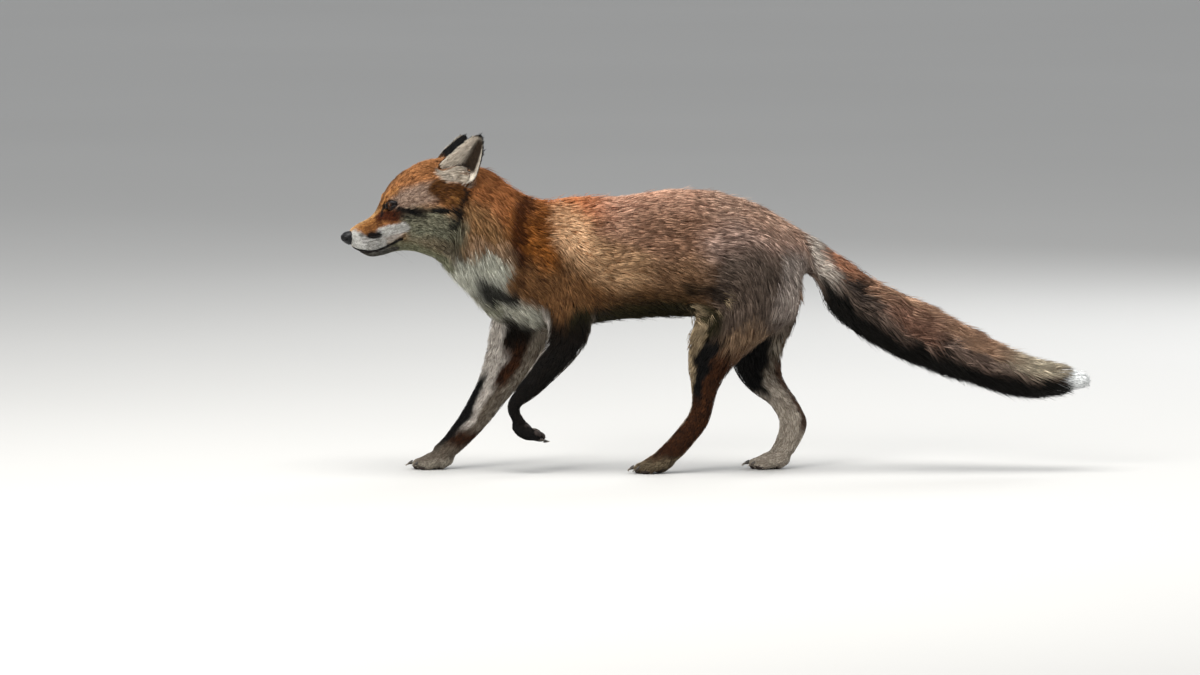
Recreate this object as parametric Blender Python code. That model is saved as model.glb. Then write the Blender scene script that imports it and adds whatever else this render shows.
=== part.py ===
"""A trotting red fox as a still, life-size museum model.

The fox faces -X and its left side is -Y. Lengths in the tables are millimetres.
Flesh is lofted through rings, fused into one body, then parted by thin cuts.
"""

import math

import bmesh
import bpy
from mathutils import Matrix, Vector

MM = 0.001
VOXEL = 2.5 * MM  # resolution at which the lofts are fused
BODY_TRIANGLES = 4900  # of the fused body, before it is parted
FINE_PASSES = 4  # smoothing everywhere
BROAD_PASSES = 18  # smoothing away from the paws and the muzzle
CUT = 0.5 * MM  # width of the cuts between the parts
CLEARANCE = 0.4 * MM  # between an organ and its seat
EAR_CLEARANCE = 0.8 * MM
RING_POINTS = 28
STEPS_PER_SPAN = 4

HEAD_YAW = math.radians(12)  # the head looks a little to the fox's left
HEAD_ROLL = math.radians(3)  # and leans to its right
HEAD_PIVOT = Vector((-320, 0, 330)) * MM
EYE_RADIUS = 8.6 * MM
EYE_CENTRE = (-407, 18.3, 335)
HIND_FOOT_OUT = 30  # from the middle plane to a hind foot
FRONT_FOOT_OUT = 27

# Rings of trunk, neck, head and tail: upper point (x, z), lower point (x, z),
# then half widths of the ring near its top, at its middle and near its foot.
TRUNK = (
    ((-262, 322), (-278, 197), (20, 36, 22)),  # point of the chest
    ((-236, 339), (-246, 180), (26, 48, 28)),
    ((-200, 346), (-203, 174), (32, 56, 34)),  # withers and elbows
    ((-162, 349), (-162, 180), (36, 60, 40)),
    ((-119, 347), (-119, 188), (38, 61, 42)),  # last ribs
    ((-75, 355), (-75, 190), (40, 60, 42)),
    ((-31, 358), (-31, 192), (40, 58, 40)),  # loin
    ((12, 352), (12, 194), (40, 58, 38)),
    ((56, 337), (56, 202), (38, 56, 34)),  # hips
    ((87, 318), (87, 217), (30, 45, 26)),
    ((110, 303), (110, 236), (18, 26, 18)),  # buttocks
)
NECK = (
    ((-316, 379), (-356, 269), (34, 50, 36)),
    ((-291, 386), (-336, 246), (36, 56, 38)),  # nape and throat
    ((-269, 373), (-317, 226), (38, 58, 38)),
    ((-246, 356), (-300, 209), (38, 56, 36)),
    ((-221, 344), (-283, 190), (36, 52, 32)),
    ((-194, 343), (-240, 178), (34, 50, 30)),  # breastbone
)
HEAD = (
    ((-459, 305), (-456, 282), (8, 11, 8)),  # behind the nose leather
    ((-449, 312.5), (-446, 276), (9, 13.5, 11)),
    ((-437, 318.5), (-434, 270), (10.5, 16, 13)),  # lips
    ((-427, 326.5), (-420, 271), (13, 19.5, 15)),
    ((-419, 343), (-405, 275), (18, 25, 18)),  # stop
    ((-409, 361), (-391, 277), (25, 33, 24)),  # eyes
    ((-395, 375), (-375, 275), (31, 43, 34)),
    ((-376, 386), (-356, 267), (35, 53, 47)),  # forehead and cheeks
    ((-354, 394), (-336, 257), (40, 62, 54)),
    ((-331, 395), (-319, 262), (40, 60, 50)),  # crown
    ((-309, 385), (-301, 277), (24, 42, 34)),
)
TAIL = (
    ((100, 309), (106, 254), (16, 24, 16)),
    ((125, 295), (116, 249), (17, 22, 17)),  # root
    ((150, 280), (129, 218), (22, 29, 20)),
    ((175, 265), (144, 187), (28, 37, 26)),
    ((206, 244), (171, 172), (30, 40, 29)),
    ((250, 222), (212, 146), (31, 41, 30)),  # thickest
    ((294, 197), (259, 128), (29, 38, 28)),
    ((337, 171), (306, 116), (26, 34, 26)),
    ((375, 152), (350, 99), (23, 30, 23)),
    ((406, 142), (390, 90), (19, 25, 19)),
    ((431, 137), (421, 93), (14, 20, 14)),
    ((454, 128), (450, 101), (9, 12, 9)),
    ((468, 119), (468, 108), (4, 6, 4)),  # tip
)

# Rings of a leg: front point (x, z), back point (x, z), sideways half widths near
# the front, in the middle and near the back, then how far out the ring's centre is.
HIND_LEG_FORWARD = (
    ((2, 318), (90, 306), (11, 17, 10), 20),
    ((-12, 276), (108, 262), (20, 28, 19), 28),
    ((-24, 236), (113, 228), (23, 31, 22), 33),  # thigh
    ((-34, 198), (107, 198), (20, 30, 20), 35),
    ((-38, 169), (60, 163), (17, 25, 16), 36),  # knee
    ((-36, 138), (24, 134), (14, 19, 12), 36),
    ((-31, 107), (5, 105), (11.5, 15.5, 10), 35),
    ((-31, 82), (-2, 79), (10.5, 14, 10), 34),  # hock
    ((-42, 64), (-10, 57), (10.5, 13.5, 10), 32),
    ((-56, 46), (-24, 39), (10.5, 13.5, 10.5), 31),
    ((-71, 30), (-40, 21), (11.5, 15, 11.5), 30),
    ((-84, 18), (-56, 10), (11.5, 15, 11.5), 30),
)
HIND_LEG_BACK = (
    ((8, 318), (92, 306), (11, 17, 10), 20),
    ((2, 272), (108, 262), (20, 28, 19), 28),
    ((0, 234), (113, 224), (23, 31, 22), 33),
    ((2, 195), (106, 186), (20, 30, 20), 35),
    ((13, 146), (90, 158), (16, 24, 14), 36),  # knee, under the flank
    ((32, 109), (84, 130), (13.5, 19, 12), 36),
    ((51, 92), (90, 108), (11.5, 16, 10), 35),
    ((68, 80), (104, 88), (10.5, 14.5, 10), 34),
    ((79, 64), (117, 62), (10.5, 14, 10), 33),  # hock
    ((80, 49), (115, 47), (10.5, 13.5, 10), 32),
    ((76, 36), (109, 34), (10.5, 13.5, 10.5), 31),
    ((69, 22), (99, 18), (11.5, 15, 11.5), 30),
)
FRONT_LEG_FORWARD = (
    ((-254, 290), (-190, 275), (10, 15, 10), 22),  # shoulder
    ((-268, 240), (-196, 225), (16, 23, 16), 31),
    ((-283, 190), (-204, 160), (16, 22, 16), 34),  # elbow
    ((-288, 148), (-220, 129), (14, 19, 13), 34),
    ((-299, 110), (-248, 98), (12, 16, 11), 32),
    ((-310, 87), (-266, 77), (11.5, 15.5, 11), 31),
    ((-322, 66), (-283, 56), (11.5, 15, 11), 29),
    ((-333, 50), (-298, 40), (11.5, 15, 11), 28),  # wrist
    ((-343, 37), (-312, 27), (12, 15.5, 11.5), 27),
    ((-354, 27), (-328, 14), (12, 16, 12), 27),
)
FRONT_LEG_LIFTED = (
    ((-222, 295), (-158, 280), (12, 17, 12), 22),
    ((-219, 240), (-149, 228), (18, 25, 18), 32),
    ((-209, 184), (-152, 180), (16, 22, 16), 36),
    ((-209, 167), (-158, 163), (15, 20, 14), 36),  # elbow
    ((-218, 153), (-178, 137), (12.5, 17, 12), 36),
    ((-231, 133), (-197, 119), (11.5, 15, 10), 35),
    ((-243, 115), (-215, 102), (10, 13.5, 9), 34),
    ((-254, 99), (-233, 89), (9.5, 12.5, 9), 33),  # wrist, bent
    ((-260, 86), (-243, 83), (9, 12, 9), 32),
    ((-258, 73), (-242, 74), (9, 12, 9), 32),
    ((-250, 61), (-237, 68), (10, 13, 10), 32),
)

# Thin cuts: centre (x, z), the cut's direction in the side view, half length along
# it, then the reach across the body from y_low to y_high.
SLABS = {
    "head from neck": ((-319, 321), (-40, -110), 95, (-110, 110)),
    "neck from trunk": ((-257, 267), (-60, -135), 120, (-110, 110)),
    "tail from trunk": ((117, 272), (-10, -52), 42, (-60, 60)),
    "tip from tail": ((434, 114), (-6, -38), 34, (-60, 60)),
    "left hind leg": ((35, 185), (1, 0), 110, (-90, -2)),
    "right hind leg": ((50, 185), (1, 0), 100, (2, 90)),
    "left front leg": ((-184, 171), (1, 0), 50, (-90, -2)),
    "right front leg": ((-245, 171), (1, 0.05), 56, (2, 90)),
    "left hind paw": ((-50, 36), (31, -8), 30, (-90, -2)),
    "right hind paw": ((86, 30), (33, -3), 32, (2, 90)),
    "left front paw": ((-249, 73), (30, 2), 24, (-90, -2)),
    "right front paw": ((-326, 38), (33, -11), 32, (2, 90)),
}

# A point inside each part, by which the parted bodies are told apart.
PART_POINTS = {
    "head": (-370, 0, 320),
    "neck": (-285, 0, 290),
    "trunk": (-50, 0, 270),
    "tail": (270, 0, 175),
    "tail_tip": (452, 0, 115),
    "leg_hind_left": (0, -35, 120),
    "leg_hind_right": (80, 35, 110),
    "leg_front_left": (-205, -35, 130),
    "leg_front_right": (-260, 32, 110),
    "paw_hind_left": (-75, -30, 12),
    "paw_hind_right": (70, 30, 12),
    "paw_front_left": (-232, -32, 55),
    "paw_front_right": (-350, 27, 15),
}

# Colour and roughness of each part's plain material.
FINISHES = {
    "head": ((0.36, 0.15, 0.06), 0.8),
    "neck": ((0.33, 0.15, 0.07), 0.8),
    "trunk": ((0.30, 0.15, 0.08), 0.8),
    "tail": ((0.16, 0.10, 0.08), 0.8),
    "tail_tip": ((0.75, 0.73, 0.70), 0.8),
    "leg": ((0.12, 0.06, 0.04), 0.8),
    "paw": ((0.07, 0.05, 0.04), 0.8),
    "ear": ((0.10, 0.07, 0.06), 0.8),
    "eye": ((0.10, 0.04, 0.01), 0.1),
    "nose": ((0.02, 0.02, 0.02), 0.4),
}


def clear_scene():
    for obj in list(bpy.data.objects):
        bpy.data.objects.remove(obj)


def material(name):
    """The plain material of a part, by the first word of its name that has one."""
    key = name if name in FINISHES else name.split("_")[0]
    colour, roughness = FINISHES[key]
    made = bpy.data.materials.new(name)
    made.use_nodes = True
    shader = made.node_tree.nodes["Principled BSDF"]
    shader.inputs["Base Color"].default_value = (*colour, 1)
    shader.inputs["Roughness"].default_value = roughness
    shader.inputs["Metallic"].default_value = 0
    return made


def new_object(name, mesh):
    obj = bpy.data.objects.new(name, mesh)
    bpy.context.scene.collection.objects.link(obj)
    return obj


def object_from(name, bm):
    bmesh.ops.recalc_face_normals(bm, faces=bm.faces)
    mesh = bpy.data.meshes.new(name)
    bm.to_mesh(mesh)
    bm.free()
    return new_object(name, mesh)


def helper(obj):
    """Marks a cutter or a source shape, which is no part of the fox."""
    obj.hide_render = True
    obj.display_type = "WIRE"
    return obj


def evaluated_mesh(obj):
    graph = bpy.context.evaluated_depsgraph_get()
    return bpy.data.meshes.new_from_object(obj.evaluated_get(graph))


def blended(values, t):
    """Catmull-Rom value at t between the second and third of four values."""
    a, b, c, d = values
    return 0.5 * (
        2 * b + (c - a) * t + (2 * a - 5 * b + 4 * c - d) * t**2 + (3 * b - a - 3 * c + d) * t**3
    )


def dense_rings(stations):
    """Rings between the stations, each as one flat list of numbers."""
    rows = []
    for upper, lower, widths, *out in stations:
        rows.append((*upper, *lower, *widths, *(out or [0])))
    rings = []
    for i in range(len(rows) - 1):
        four = [rows[max(i - 1, 0)], rows[i], rows[i + 1], rows[min(i + 2, len(rows) - 1)]]
        for step in range(STEPS_PER_SPAN):
            rings.append([blended(values, step / STEPS_PER_SPAN) for values in zip(*four)])
    rings.append(list(rows[-1]))
    return rings


def ring_points(ring, side):
    """Points round one ring. A leg's centre lies out to its side, -1 for left."""
    ux, uz, lx, lz, w_upper, w_middle, w_lower, out = ring
    points = []
    for k in range(RING_POINTS):
        angle = 2 * math.pi * k / RING_POINTS
        c, s = math.cos(angle), math.sin(angle)
        end_width = w_upper if c > 0 else w_lower
        width = w_middle + (end_width - w_middle) * c * c
        x = (ux + lx) / 2 + (ux - lx) / 2 * c
        z = (uz + lz) / 2 + (uz - lz) / 2 * c
        points.append(Vector((x, side * out + width * s, z)) * MM)
    return points


def add_loft(bm, stations, side=0, turn=Matrix.Identity(4)):
    """A closed tube through the stations' rings."""
    loops = []
    for ring in dense_rings(stations):
        loops.append([bm.verts.new(turn @ p) for p in ring_points(ring, side)])
    for first, second in zip(loops, loops[1:]):
        for k in range(RING_POINTS):
            after = (k + 1) % RING_POINTS
            bm.faces.new((first[k], first[after], second[after], second[k]))
    bm.faces.new(loops[0])
    bm.faces.new(reversed(loops[-1]))


def add_ellipsoid(bm, centre, radii, turn=Matrix.Identity(4), segments=20):
    size = Matrix.Diagonal((*(r * MM for r in radii), 1))
    bmesh.ops.create_uvsphere(
        bm,
        u_segments=segments,
        v_segments=segments // 2,
        radius=1,
        matrix=turn @ Matrix.Translation(Vector(centre) * MM) @ size,
    )


def head_turn():
    """Turns what is built straight ahead to where the head looks."""
    turn = Matrix.Rotation(HEAD_YAW, 4, "Z") @ Matrix.Rotation(-HEAD_ROLL, 4, "X")
    return Matrix.Translation(HEAD_PIVOT) @ turn @ Matrix.Translation(-HEAD_PIVOT)


TOE_ROWS = ((-1.5, 12), (-0.5, 19), (0.5, 19), (1.5, 12))  # place across, reach
TOE_PITCH = 9.6
TOE_RADII = (12.5, 6.3, 8.3)
CLAW_LENGTH = 6.5


def add_paw(bm, turn):
    """A paw in its own frame: toes towards -X, sole at z 0, ball at the origin."""
    add_ellipsoid(bm, (2, 0, 11.5), (21, 18, 11), turn)
    add_ellipsoid(bm, (3, 0, 6), (12, 13, 8), turn)  # the main pad
    for across, reach in TOE_ROWS:
        add_ellipsoid(bm, (-reach, across * TOE_PITCH, 7), TOE_RADII, turn)


def add_claws(bm, turn):
    """Four blunt claws, each a bent cone that starts inside its toe."""
    for across, reach in TOE_ROWS:
        start = Vector((-reach - 8, across * TOE_PITCH, 8.5))
        loops = []
        for share, radius in ((0, 2.2), (0.5, 1.7), (0.85, 1.0), (1, 0.5)):
            along = 4 + CLAW_LENGTH * share
            middle = start + Vector((-along, 0, -3.4 * share * share))
            loop = []
            for k in range(6):
                angle = math.pi * k / 3
                offset = Vector((0, math.cos(angle), math.sin(angle))) * radius
                loop.append(bm.verts.new(turn @ ((middle + offset) * MM)))
            loops.append(loop)
        for first, second in zip(loops, loops[1:]):
            for k in range(6):
                after = (k + 1) % 6
                bm.faces.new((first[k], first[after], second[after], second[k]))
        bm.faces.new(loops[0])
        bm.faces.new(reversed(loops[-1]))


def paw_place(x, y, z, pitch_degrees, size=1.0):
    """Where a paw's frame goes: its ball's place in mm and its tilt, toes down."""
    tilt = Matrix.Rotation(math.radians(-pitch_degrees), 4, "Y")
    return Matrix.Translation(Vector((x, y, z)) * MM) @ tilt @ Matrix.Scale(size, 4)


PAWS = (
    paw_place(-349, FRONT_FOOT_OUT, 0, 0),
    paw_place(-232, -FRONT_FOOT_OUT - 5, 60, 150, 0.86),  # the lifted one
    paw_place(-71, -HIND_FOOT_OUT, 1.5, 5),
    paw_place(73, HIND_FOOT_OUT, 0, 0),
)


def flesh_source():
    """All the overlapping closed shapes that fuse into the body."""
    bm = bmesh.new()
    turn = head_turn()
    add_loft(bm, TRUNK)
    add_loft(bm, NECK)
    add_loft(bm, HEAD, turn=turn)
    add_loft(bm, TAIL)
    add_loft(bm, HIND_LEG_FORWARD, side=-1)
    add_loft(bm, HIND_LEG_BACK, side=1)
    add_loft(bm, FRONT_LEG_LIFTED, side=-1)
    add_loft(bm, FRONT_LEG_FORWARD, side=1)
    for side in (-1, 1):
        add_ellipsoid(bm, (-406, side * 15.5, 345), (13, 8.5, 7.5), turn)  # brow
        add_ellipsoid(bm, (-438, side * 8, 285), (15, 9, 10), turn)  # whisker pad
        add_ellipsoid(bm, (-333, side * 31, 371), (18, 13, 14), turn)  # ear base
    for place in PAWS:
        add_paw(bm, place)
    return helper(object_from("flesh_source", bm))


def settled(obj):
    """The object with its modifiers applied."""
    mesh = evaluated_mesh(obj)
    name = obj.name
    bpy.data.objects.remove(obj)
    return helper(new_object(name, mesh))


def mark_broad_forms(obj):
    """A vertex group that leaves out the paws and the muzzle."""
    sharp = [place @ (Vector((-12, 0, 8)) * MM) for place in PAWS]
    sharp.append(head_turn() @ (Vector((-440, 0, 292)) * MM))
    group = obj.vertex_groups.new(name="broad forms")
    for vert in obj.data.vertices:
        distance = min((vert.co - point).length for point in sharp)
        weight = min(max((distance / MM - 32) / 45, 0), 1)
        group.add([vert.index], weight, "REPLACE")


def fused_body():
    """The lofts as one smooth closed surface of few triangles, with its claws."""
    body = flesh_source()
    remesh = body.modifiers.new("Fuse", "REMESH")
    remesh.mode = "VOXEL"
    remesh.voxel_size = VOXEL
    body = settled(body)
    mark_broad_forms(body)
    for name, passes, group in (
        ("Soften", FINE_PASSES, ""),
        ("Soften more", BROAD_PASSES, "broad forms"),
    ):
        smooth = body.modifiers.new(name, "SMOOTH")
        smooth.iterations = passes
        smooth.factor = 0.5
        smooth.vertex_group = group
    body = settled(body)
    count = sum(len(p.vertices) - 2 for p in body.data.polygons)
    decimate = body.modifiers.new("Facets", "DECIMATE")
    decimate.ratio = BODY_TRIANGLES / count
    claws = bmesh.new()
    for place in PAWS:
        add_claws(claws, place)
    body = settled(body)
    body.name = "body"
    claws = helper(object_from("claws", claws))
    add_boolean(body, claws, "UNION")
    return body, claws


def add_boolean(obj, other, operation="DIFFERENCE"):
    modifier = obj.modifiers.new(other.name, "BOOLEAN")
    modifier.operation = operation
    modifier.object = other


def add_box(bm, transform, size):
    bmesh.ops.create_cube(bm, size=1, matrix=transform @ Matrix.Diagonal((*size, 1)))


def slab_cutters():
    """One thin box for each cut between two parts."""
    cutters = []
    for name, (centre, along, half_length, (y_low, y_high)) in SLABS.items():
        turn = head_turn() if name.startswith("head") else Matrix.Identity(4)
        middle = Vector((centre[0], (y_low + y_high) / 2, centre[1])) * MM
        direction = Vector((along[0], 0, along[1])).normalized()
        across = Vector((0, 1, 0))
        frame = Matrix((direction, across, direction.cross(across))).transposed().to_4x4()
        bm = bmesh.new()
        size = (2 * half_length * MM, (y_high - y_low) * MM, CUT)
        add_box(bm, turn @ Matrix.Translation(middle) @ frame, size)
        cutters.append(helper(object_from("cut " + name, bm)))
    return cutters


def floor_cutter():
    """What lies under the floor: it leaves small flats under the standing paws."""
    bm = bmesh.new()
    add_box(bm, Matrix.Translation((0, 0, -0.05)), (2, 1, 0.1))
    return helper(object_from("floor_cutter", bm))


def eye_object(name, side, radius):
    bm = bmesh.new()
    x, y, z = EYE_CENTRE
    add_ellipsoid(bm, (x, side * y, z), (radius / MM,) * 3, head_turn(), segments=14)
    return object_from(name, bm)


NOSE_CENTRE = (-461, 0, 294)
NOSE_RADII = (8.5, 9.5, 7.8)


def nose_object(name, growth=0.0):
    """The nose leather: a rounded pad, wider than high, cut flat behind."""
    bm = bmesh.new()
    radii = [r + growth / MM for r in NOSE_RADII]
    add_ellipsoid(bm, NOSE_CENTRE, radii, head_turn(), segments=14)
    return object_from(name, bm)


EAR_BASE = Vector((-331, 36, 371))
EAR_TIP = Vector((-298, 49, 420))
EAR_OPENING = Vector((-0.62, 0.78, 0.1))
EAR_HALF_WIDTH = 27
EAR_DEPTH = 15
EAR_THICKNESS = 3.4
EAR_ROWS = 11
EAR_COLUMNS = 9
EAR_ROOT = -0.24  # how far the ear reaches into the head, as a share of its height


def ear_points(share, across, side):
    """A point inside the cup and the one behind it: share 0 at the root, 1 at the tip."""
    up = (EAR_TIP - EAR_BASE).normalized()
    wide = up.cross(EAR_OPENING).normalized()
    inward = up.cross(wide).normalized()  # away from the opening
    rise = max(share, 0)
    half_width = EAR_HALF_WIDTH * (1 - rise**1.2) ** 0.6 + 1
    half_width *= 1 - 0.65 * max(0.15 - share, 0) / (0.15 - EAR_ROOT)
    depth = EAR_DEPTH * (1 - 0.8 * rise)
    bend = 6 * rise * rise  # the tip leans over the opening
    front = EAR_BASE.lerp(EAR_TIP, share)
    front = front + wide * (half_width * across)
    front = front + inward * (depth * (1 - across * across) - bend)
    thickness = EAR_THICKNESS * (1 - 0.5 * rise) * (1 - 0.4 * across * across)
    pair = []
    for point in (front, front + inward * thickness):
        pair.append(Vector((point.x, side * point.y, point.z)) * MM)
    return pair


def ear_object(name, side):
    bm = bmesh.new()
    turn = head_turn()
    loops = []  # each runs across the inside of the cup and back behind it
    for row in range(EAR_ROWS):
        share = EAR_ROOT + (1 - EAR_ROOT) * row / (EAR_ROWS - 1)
        inside, behind = [], []
        for column in range(EAR_COLUMNS):
            across = 2 * column / (EAR_COLUMNS - 1) - 1
            front, back = ear_points(share, across, side)
            inside.append(bm.verts.new(turn @ front))
            behind.append(bm.verts.new(turn @ back))
        loops.append(inside + behind[::-1])
    for low, high in zip(loops, loops[1:]):
        for k, vert in enumerate(low):
            after = (k + 1) % len(low)
            bm.faces.new((vert, low[after], high[after], high[k]))
    for loop in (loops[0], loops[-1]):
        for k in range(EAR_COLUMNS - 1):
            bm.faces.new((loop[k], loop[k + 1], loop[-k - 2], loop[-k - 1]))
    return object_from(name, bm)


def inflated(mesh, name, distance):
    """A copy of a closed mesh, grown outwards, as a cutter."""
    bm = bmesh.new()
    bm.from_mesh(mesh)
    bm.normal_update()
    for vert in bm.verts:
        vert.co += vert.normal * distance
    grown = bpy.data.meshes.new(name)
    bm.to_mesh(grown)
    bm.free()
    return helper(new_object(name, grown))


def islands(mesh):
    """The separate closed bodies of a mesh, each as its own bmesh."""
    whole = bmesh.new()
    whole.from_mesh(mesh)
    left = set(whole.verts)
    found = []
    while left:
        todo = [left.pop()]
        island = set(todo)
        while todo:
            for edge in todo.pop().link_edges:
                for vert in edge.verts:
                    if vert in left:
                        left.remove(vert)
                        island.add(vert)
                        todo.append(vert)
        copy = {vert: None for vert in island}
        bm = bmesh.new()
        for vert in copy:
            copy[vert] = bm.verts.new(vert.co)
        for face in whole.faces:
            if face.verts[0] in island:
                bm.faces.new([copy[vert] for vert in face.verts])
        found.append(bm)
    whole.free()
    return found


def part_name(bm):
    centre = Vector()
    area = 0
    for face in bm.faces:
        size = face.calc_area()
        centre += face.calc_center_median() * size
        area += size
    centre /= area
    return min(PART_POINTS, key=lambda n: (Vector(PART_POINTS[n]) * MM - centre).length)


def body_parts(body):
    """Names each piece that the cuts leave. Crumbs are dropped."""
    parts = {}
    for bm in islands(evaluated_mesh(body)):
        if bm.calc_volume() < 1e-7:
            bm.free()
            continue
        name = part_name(bm)
        if name in parts:
            raise ValueError("two pieces are nearest to " + name)
        parts[name] = object_from(name, bm)
    return parts


def stand_on_origin(nodes):
    """Puts the origin at the middle of the fox's box, at the floor."""
    bpy.context.view_layer.update()
    graph = bpy.context.evaluated_depsgraph_get()
    corners = []
    for obj in nodes:
        shown = obj.evaluated_get(graph)
        corners += [shown.matrix_world @ Vector(corner) for corner in shown.bound_box]
    shift = Vector()
    for axis in (0, 1):
        values = [corner[axis] for corner in corners]
        shift[axis] = -(min(values) + max(values)) / 2
    shift.z = -min(corner.z for corner in corners)
    for obj in bpy.data.objects:
        obj.location += shift


def finish_surface(obj):
    obj.data.materials.clear()
    obj.data.materials.append(material(obj.name))
    obj.data.shade_smooth()
    obj.data.set_sharp_from_angle(angle=math.radians(40))


def build():
    clear_scene()
    body, claws = fused_body()
    ear_seat = inflated(evaluated_mesh(body), "ear_seat", EAR_CLEARANCE)
    cutters = [floor_cutter(), nose_object("nose_seat", CLEARANCE), *slab_cutters()]
    nodes = [nose_object("nose")]
    for name, side in (("left", -1), ("right", 1)):
        nodes.append(eye_object("eye_" + name, side, EYE_RADIUS))
        cutters.append(eye_object("socket_" + name, side, EYE_RADIUS + CLEARANCE))
        ear = ear_object("ear_" + name, side)
        add_boolean(ear, ear_seat)
        nodes.append(ear)
    for cutter in cutters:
        add_boolean(body, helper(cutter))
    nodes += body_parts(body).values()
    for obj in (body, claws, *cutters):
        bpy.data.objects.remove(obj)
    stand_on_origin(nodes)
    for obj in nodes:
        finish_surface(obj)


build()
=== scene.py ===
"""The looks of a trotting red fox: its skin, coat, eyes, nose, claws, pads and whiskers.

The fox faces -X and its left side is -Y. Numbers in the tables are millimetres, in the frame
that the fox was drawn in or, where said, in the head's own frame, straight ahead and level.
Colours in the tables are what the eye sees, from 0 to 255.
"""

import math

import bmesh
import bpy
import numpy as np
from mathutils import Matrix, Vector
from mathutils.bvhtree import BVHTree
from mathutils.kdtree import KDTree


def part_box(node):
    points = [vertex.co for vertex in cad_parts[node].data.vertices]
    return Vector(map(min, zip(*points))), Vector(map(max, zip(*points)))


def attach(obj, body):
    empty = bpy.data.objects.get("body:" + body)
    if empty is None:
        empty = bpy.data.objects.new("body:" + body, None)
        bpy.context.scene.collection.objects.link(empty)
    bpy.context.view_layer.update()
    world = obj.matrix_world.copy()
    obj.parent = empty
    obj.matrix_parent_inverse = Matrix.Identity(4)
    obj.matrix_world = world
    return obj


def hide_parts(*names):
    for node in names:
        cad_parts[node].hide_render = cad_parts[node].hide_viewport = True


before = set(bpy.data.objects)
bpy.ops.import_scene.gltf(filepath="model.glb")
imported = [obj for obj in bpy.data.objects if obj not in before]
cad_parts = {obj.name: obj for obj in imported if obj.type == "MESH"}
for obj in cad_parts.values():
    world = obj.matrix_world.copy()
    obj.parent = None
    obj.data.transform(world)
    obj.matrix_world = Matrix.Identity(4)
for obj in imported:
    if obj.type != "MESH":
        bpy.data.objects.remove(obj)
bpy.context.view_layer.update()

MM = 0.001
SEED = 20
FLESH = (
    "head neck trunk tail tail_tip ear_left ear_right leg_front_left leg_front_right leg_hind_left "
    "leg_hind_right paw_front_left paw_front_right paw_hind_left paw_hind_right"
).split()

# ---------------------------------------------------------------- the two frames

HEAD_YAW = math.radians(12)  # the head looks a little to the fox's left
HEAD_ROLL = math.radians(3)  # and leans to its right
HEAD_PIVOT = Vector((-320, 0, 330)) * MM
NOSE_CENTRE = Vector((-461, 0, 294))
NOSE_SEAT = -457.5  # x of the skin behind the nose


def head_turn():
    """From the head's own frame to the frame that the fox was drawn in, in metres."""
    turn = Matrix.Rotation(HEAD_YAW, 4, "Z") @ Matrix.Rotation(-HEAD_ROLL, 4, "X")
    return Matrix.Translation(HEAD_PIVOT) @ turn @ Matrix.Translation(-HEAD_PIVOT)


def box_middle(node):
    low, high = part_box(node)
    return (low + high) / 2


ORIGIN = box_middle("nose") - head_turn() @ (NOSE_CENTRE * MM)
DRAWN = Matrix.Translation(ORIGIN) @ Matrix.Scale(MM, 4)  # drawn millimetres to row metres
HEAD = Matrix.Translation(ORIGIN) @ head_turn() @ Matrix.Scale(MM, 4)


def moved(matrix, points):
    """Points of an array, moved by a matrix."""
    m = np.array(matrix)
    return np.asarray(points, float) @ m[:3, :3].T + m[:3, 3]


def in_head(points):
    """Row points in the head's own frame, in millimetres."""
    return moved(HEAD.inverted(), points)


def in_drawn(points):
    """Row points in the frame that the fox was drawn in, in millimetres."""
    return moved(DRAWN.inverted(), points)


def folded(points):
    """Points with how far out they are for y, so that left and right are alike."""
    return points * [1, 0, 1] + np.abs(points) * [0, 1, 0]


def unit(vectors):
    return vectors / np.maximum(np.linalg.norm(vectors, axis=-1, keepdims=True), 1e-12)


def dot(a, b):
    return np.einsum("ij,ij->i", a, np.broadcast_to(b, a.shape))


def ease(value, low, high):
    """0 below low, 1 above high, smooth between; with low above high it falls."""
    t = np.clip((value - low) / (high - low), 0, 1)
    return t * t * (3 - 2 * t)


def from_segment(places, a, b):
    """For each place, its offset from the nearest place on a segment, and the share of the
    segment that lies before that."""
    share = np.clip((places - a) @ (b - a) / ((b - a) @ (b - a)), 0, 1)[:, None]
    return places - (a + share * (b - a)), share


MIXERS = (73856093, 19349663, 83492791, 2654435)  # large odd numbers, one to a coordinate
LAST_MIXER = 1274126177
SEED_STEP = 17.31  # how far apart two seeds' noises are taken


def noise(points, size, seed):
    """Smooth noise from -1 to 1 at each point, with bumps about size across."""
    p = points / size + seed * SEED_STEP
    cell = np.floor(p).astype(np.int64)
    t = p - cell
    t = t * t * (3 - 2 * t)
    total = np.zeros(len(p))
    for corner in range(8):
        step = np.array([corner >> 2 & 1, corner >> 1 & 1, corner & 1])
        x, y, z = (cell + step).T
        mixed = (x * MIXERS[0]) ^ (y * MIXERS[1]) ^ (z * MIXERS[2]) ^ (seed * MIXERS[3])
        mixed = (mixed ^ (mixed >> 13)) * LAST_MIXER & 0x7FFFFFFF
        mixed = (mixed ^ (mixed >> 15)) & 0xFFFF
        share = np.where(step, t, 1 - t).prod(axis=1)
        total += share * (mixed / 32767.5 - 1)
    return total


def noise_vectors(points, size, seed):
    return np.stack([noise(points, size, seed + k) for k in range(3)], axis=1)


# ---------------------------------------------------------------- the lie of the coat

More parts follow.
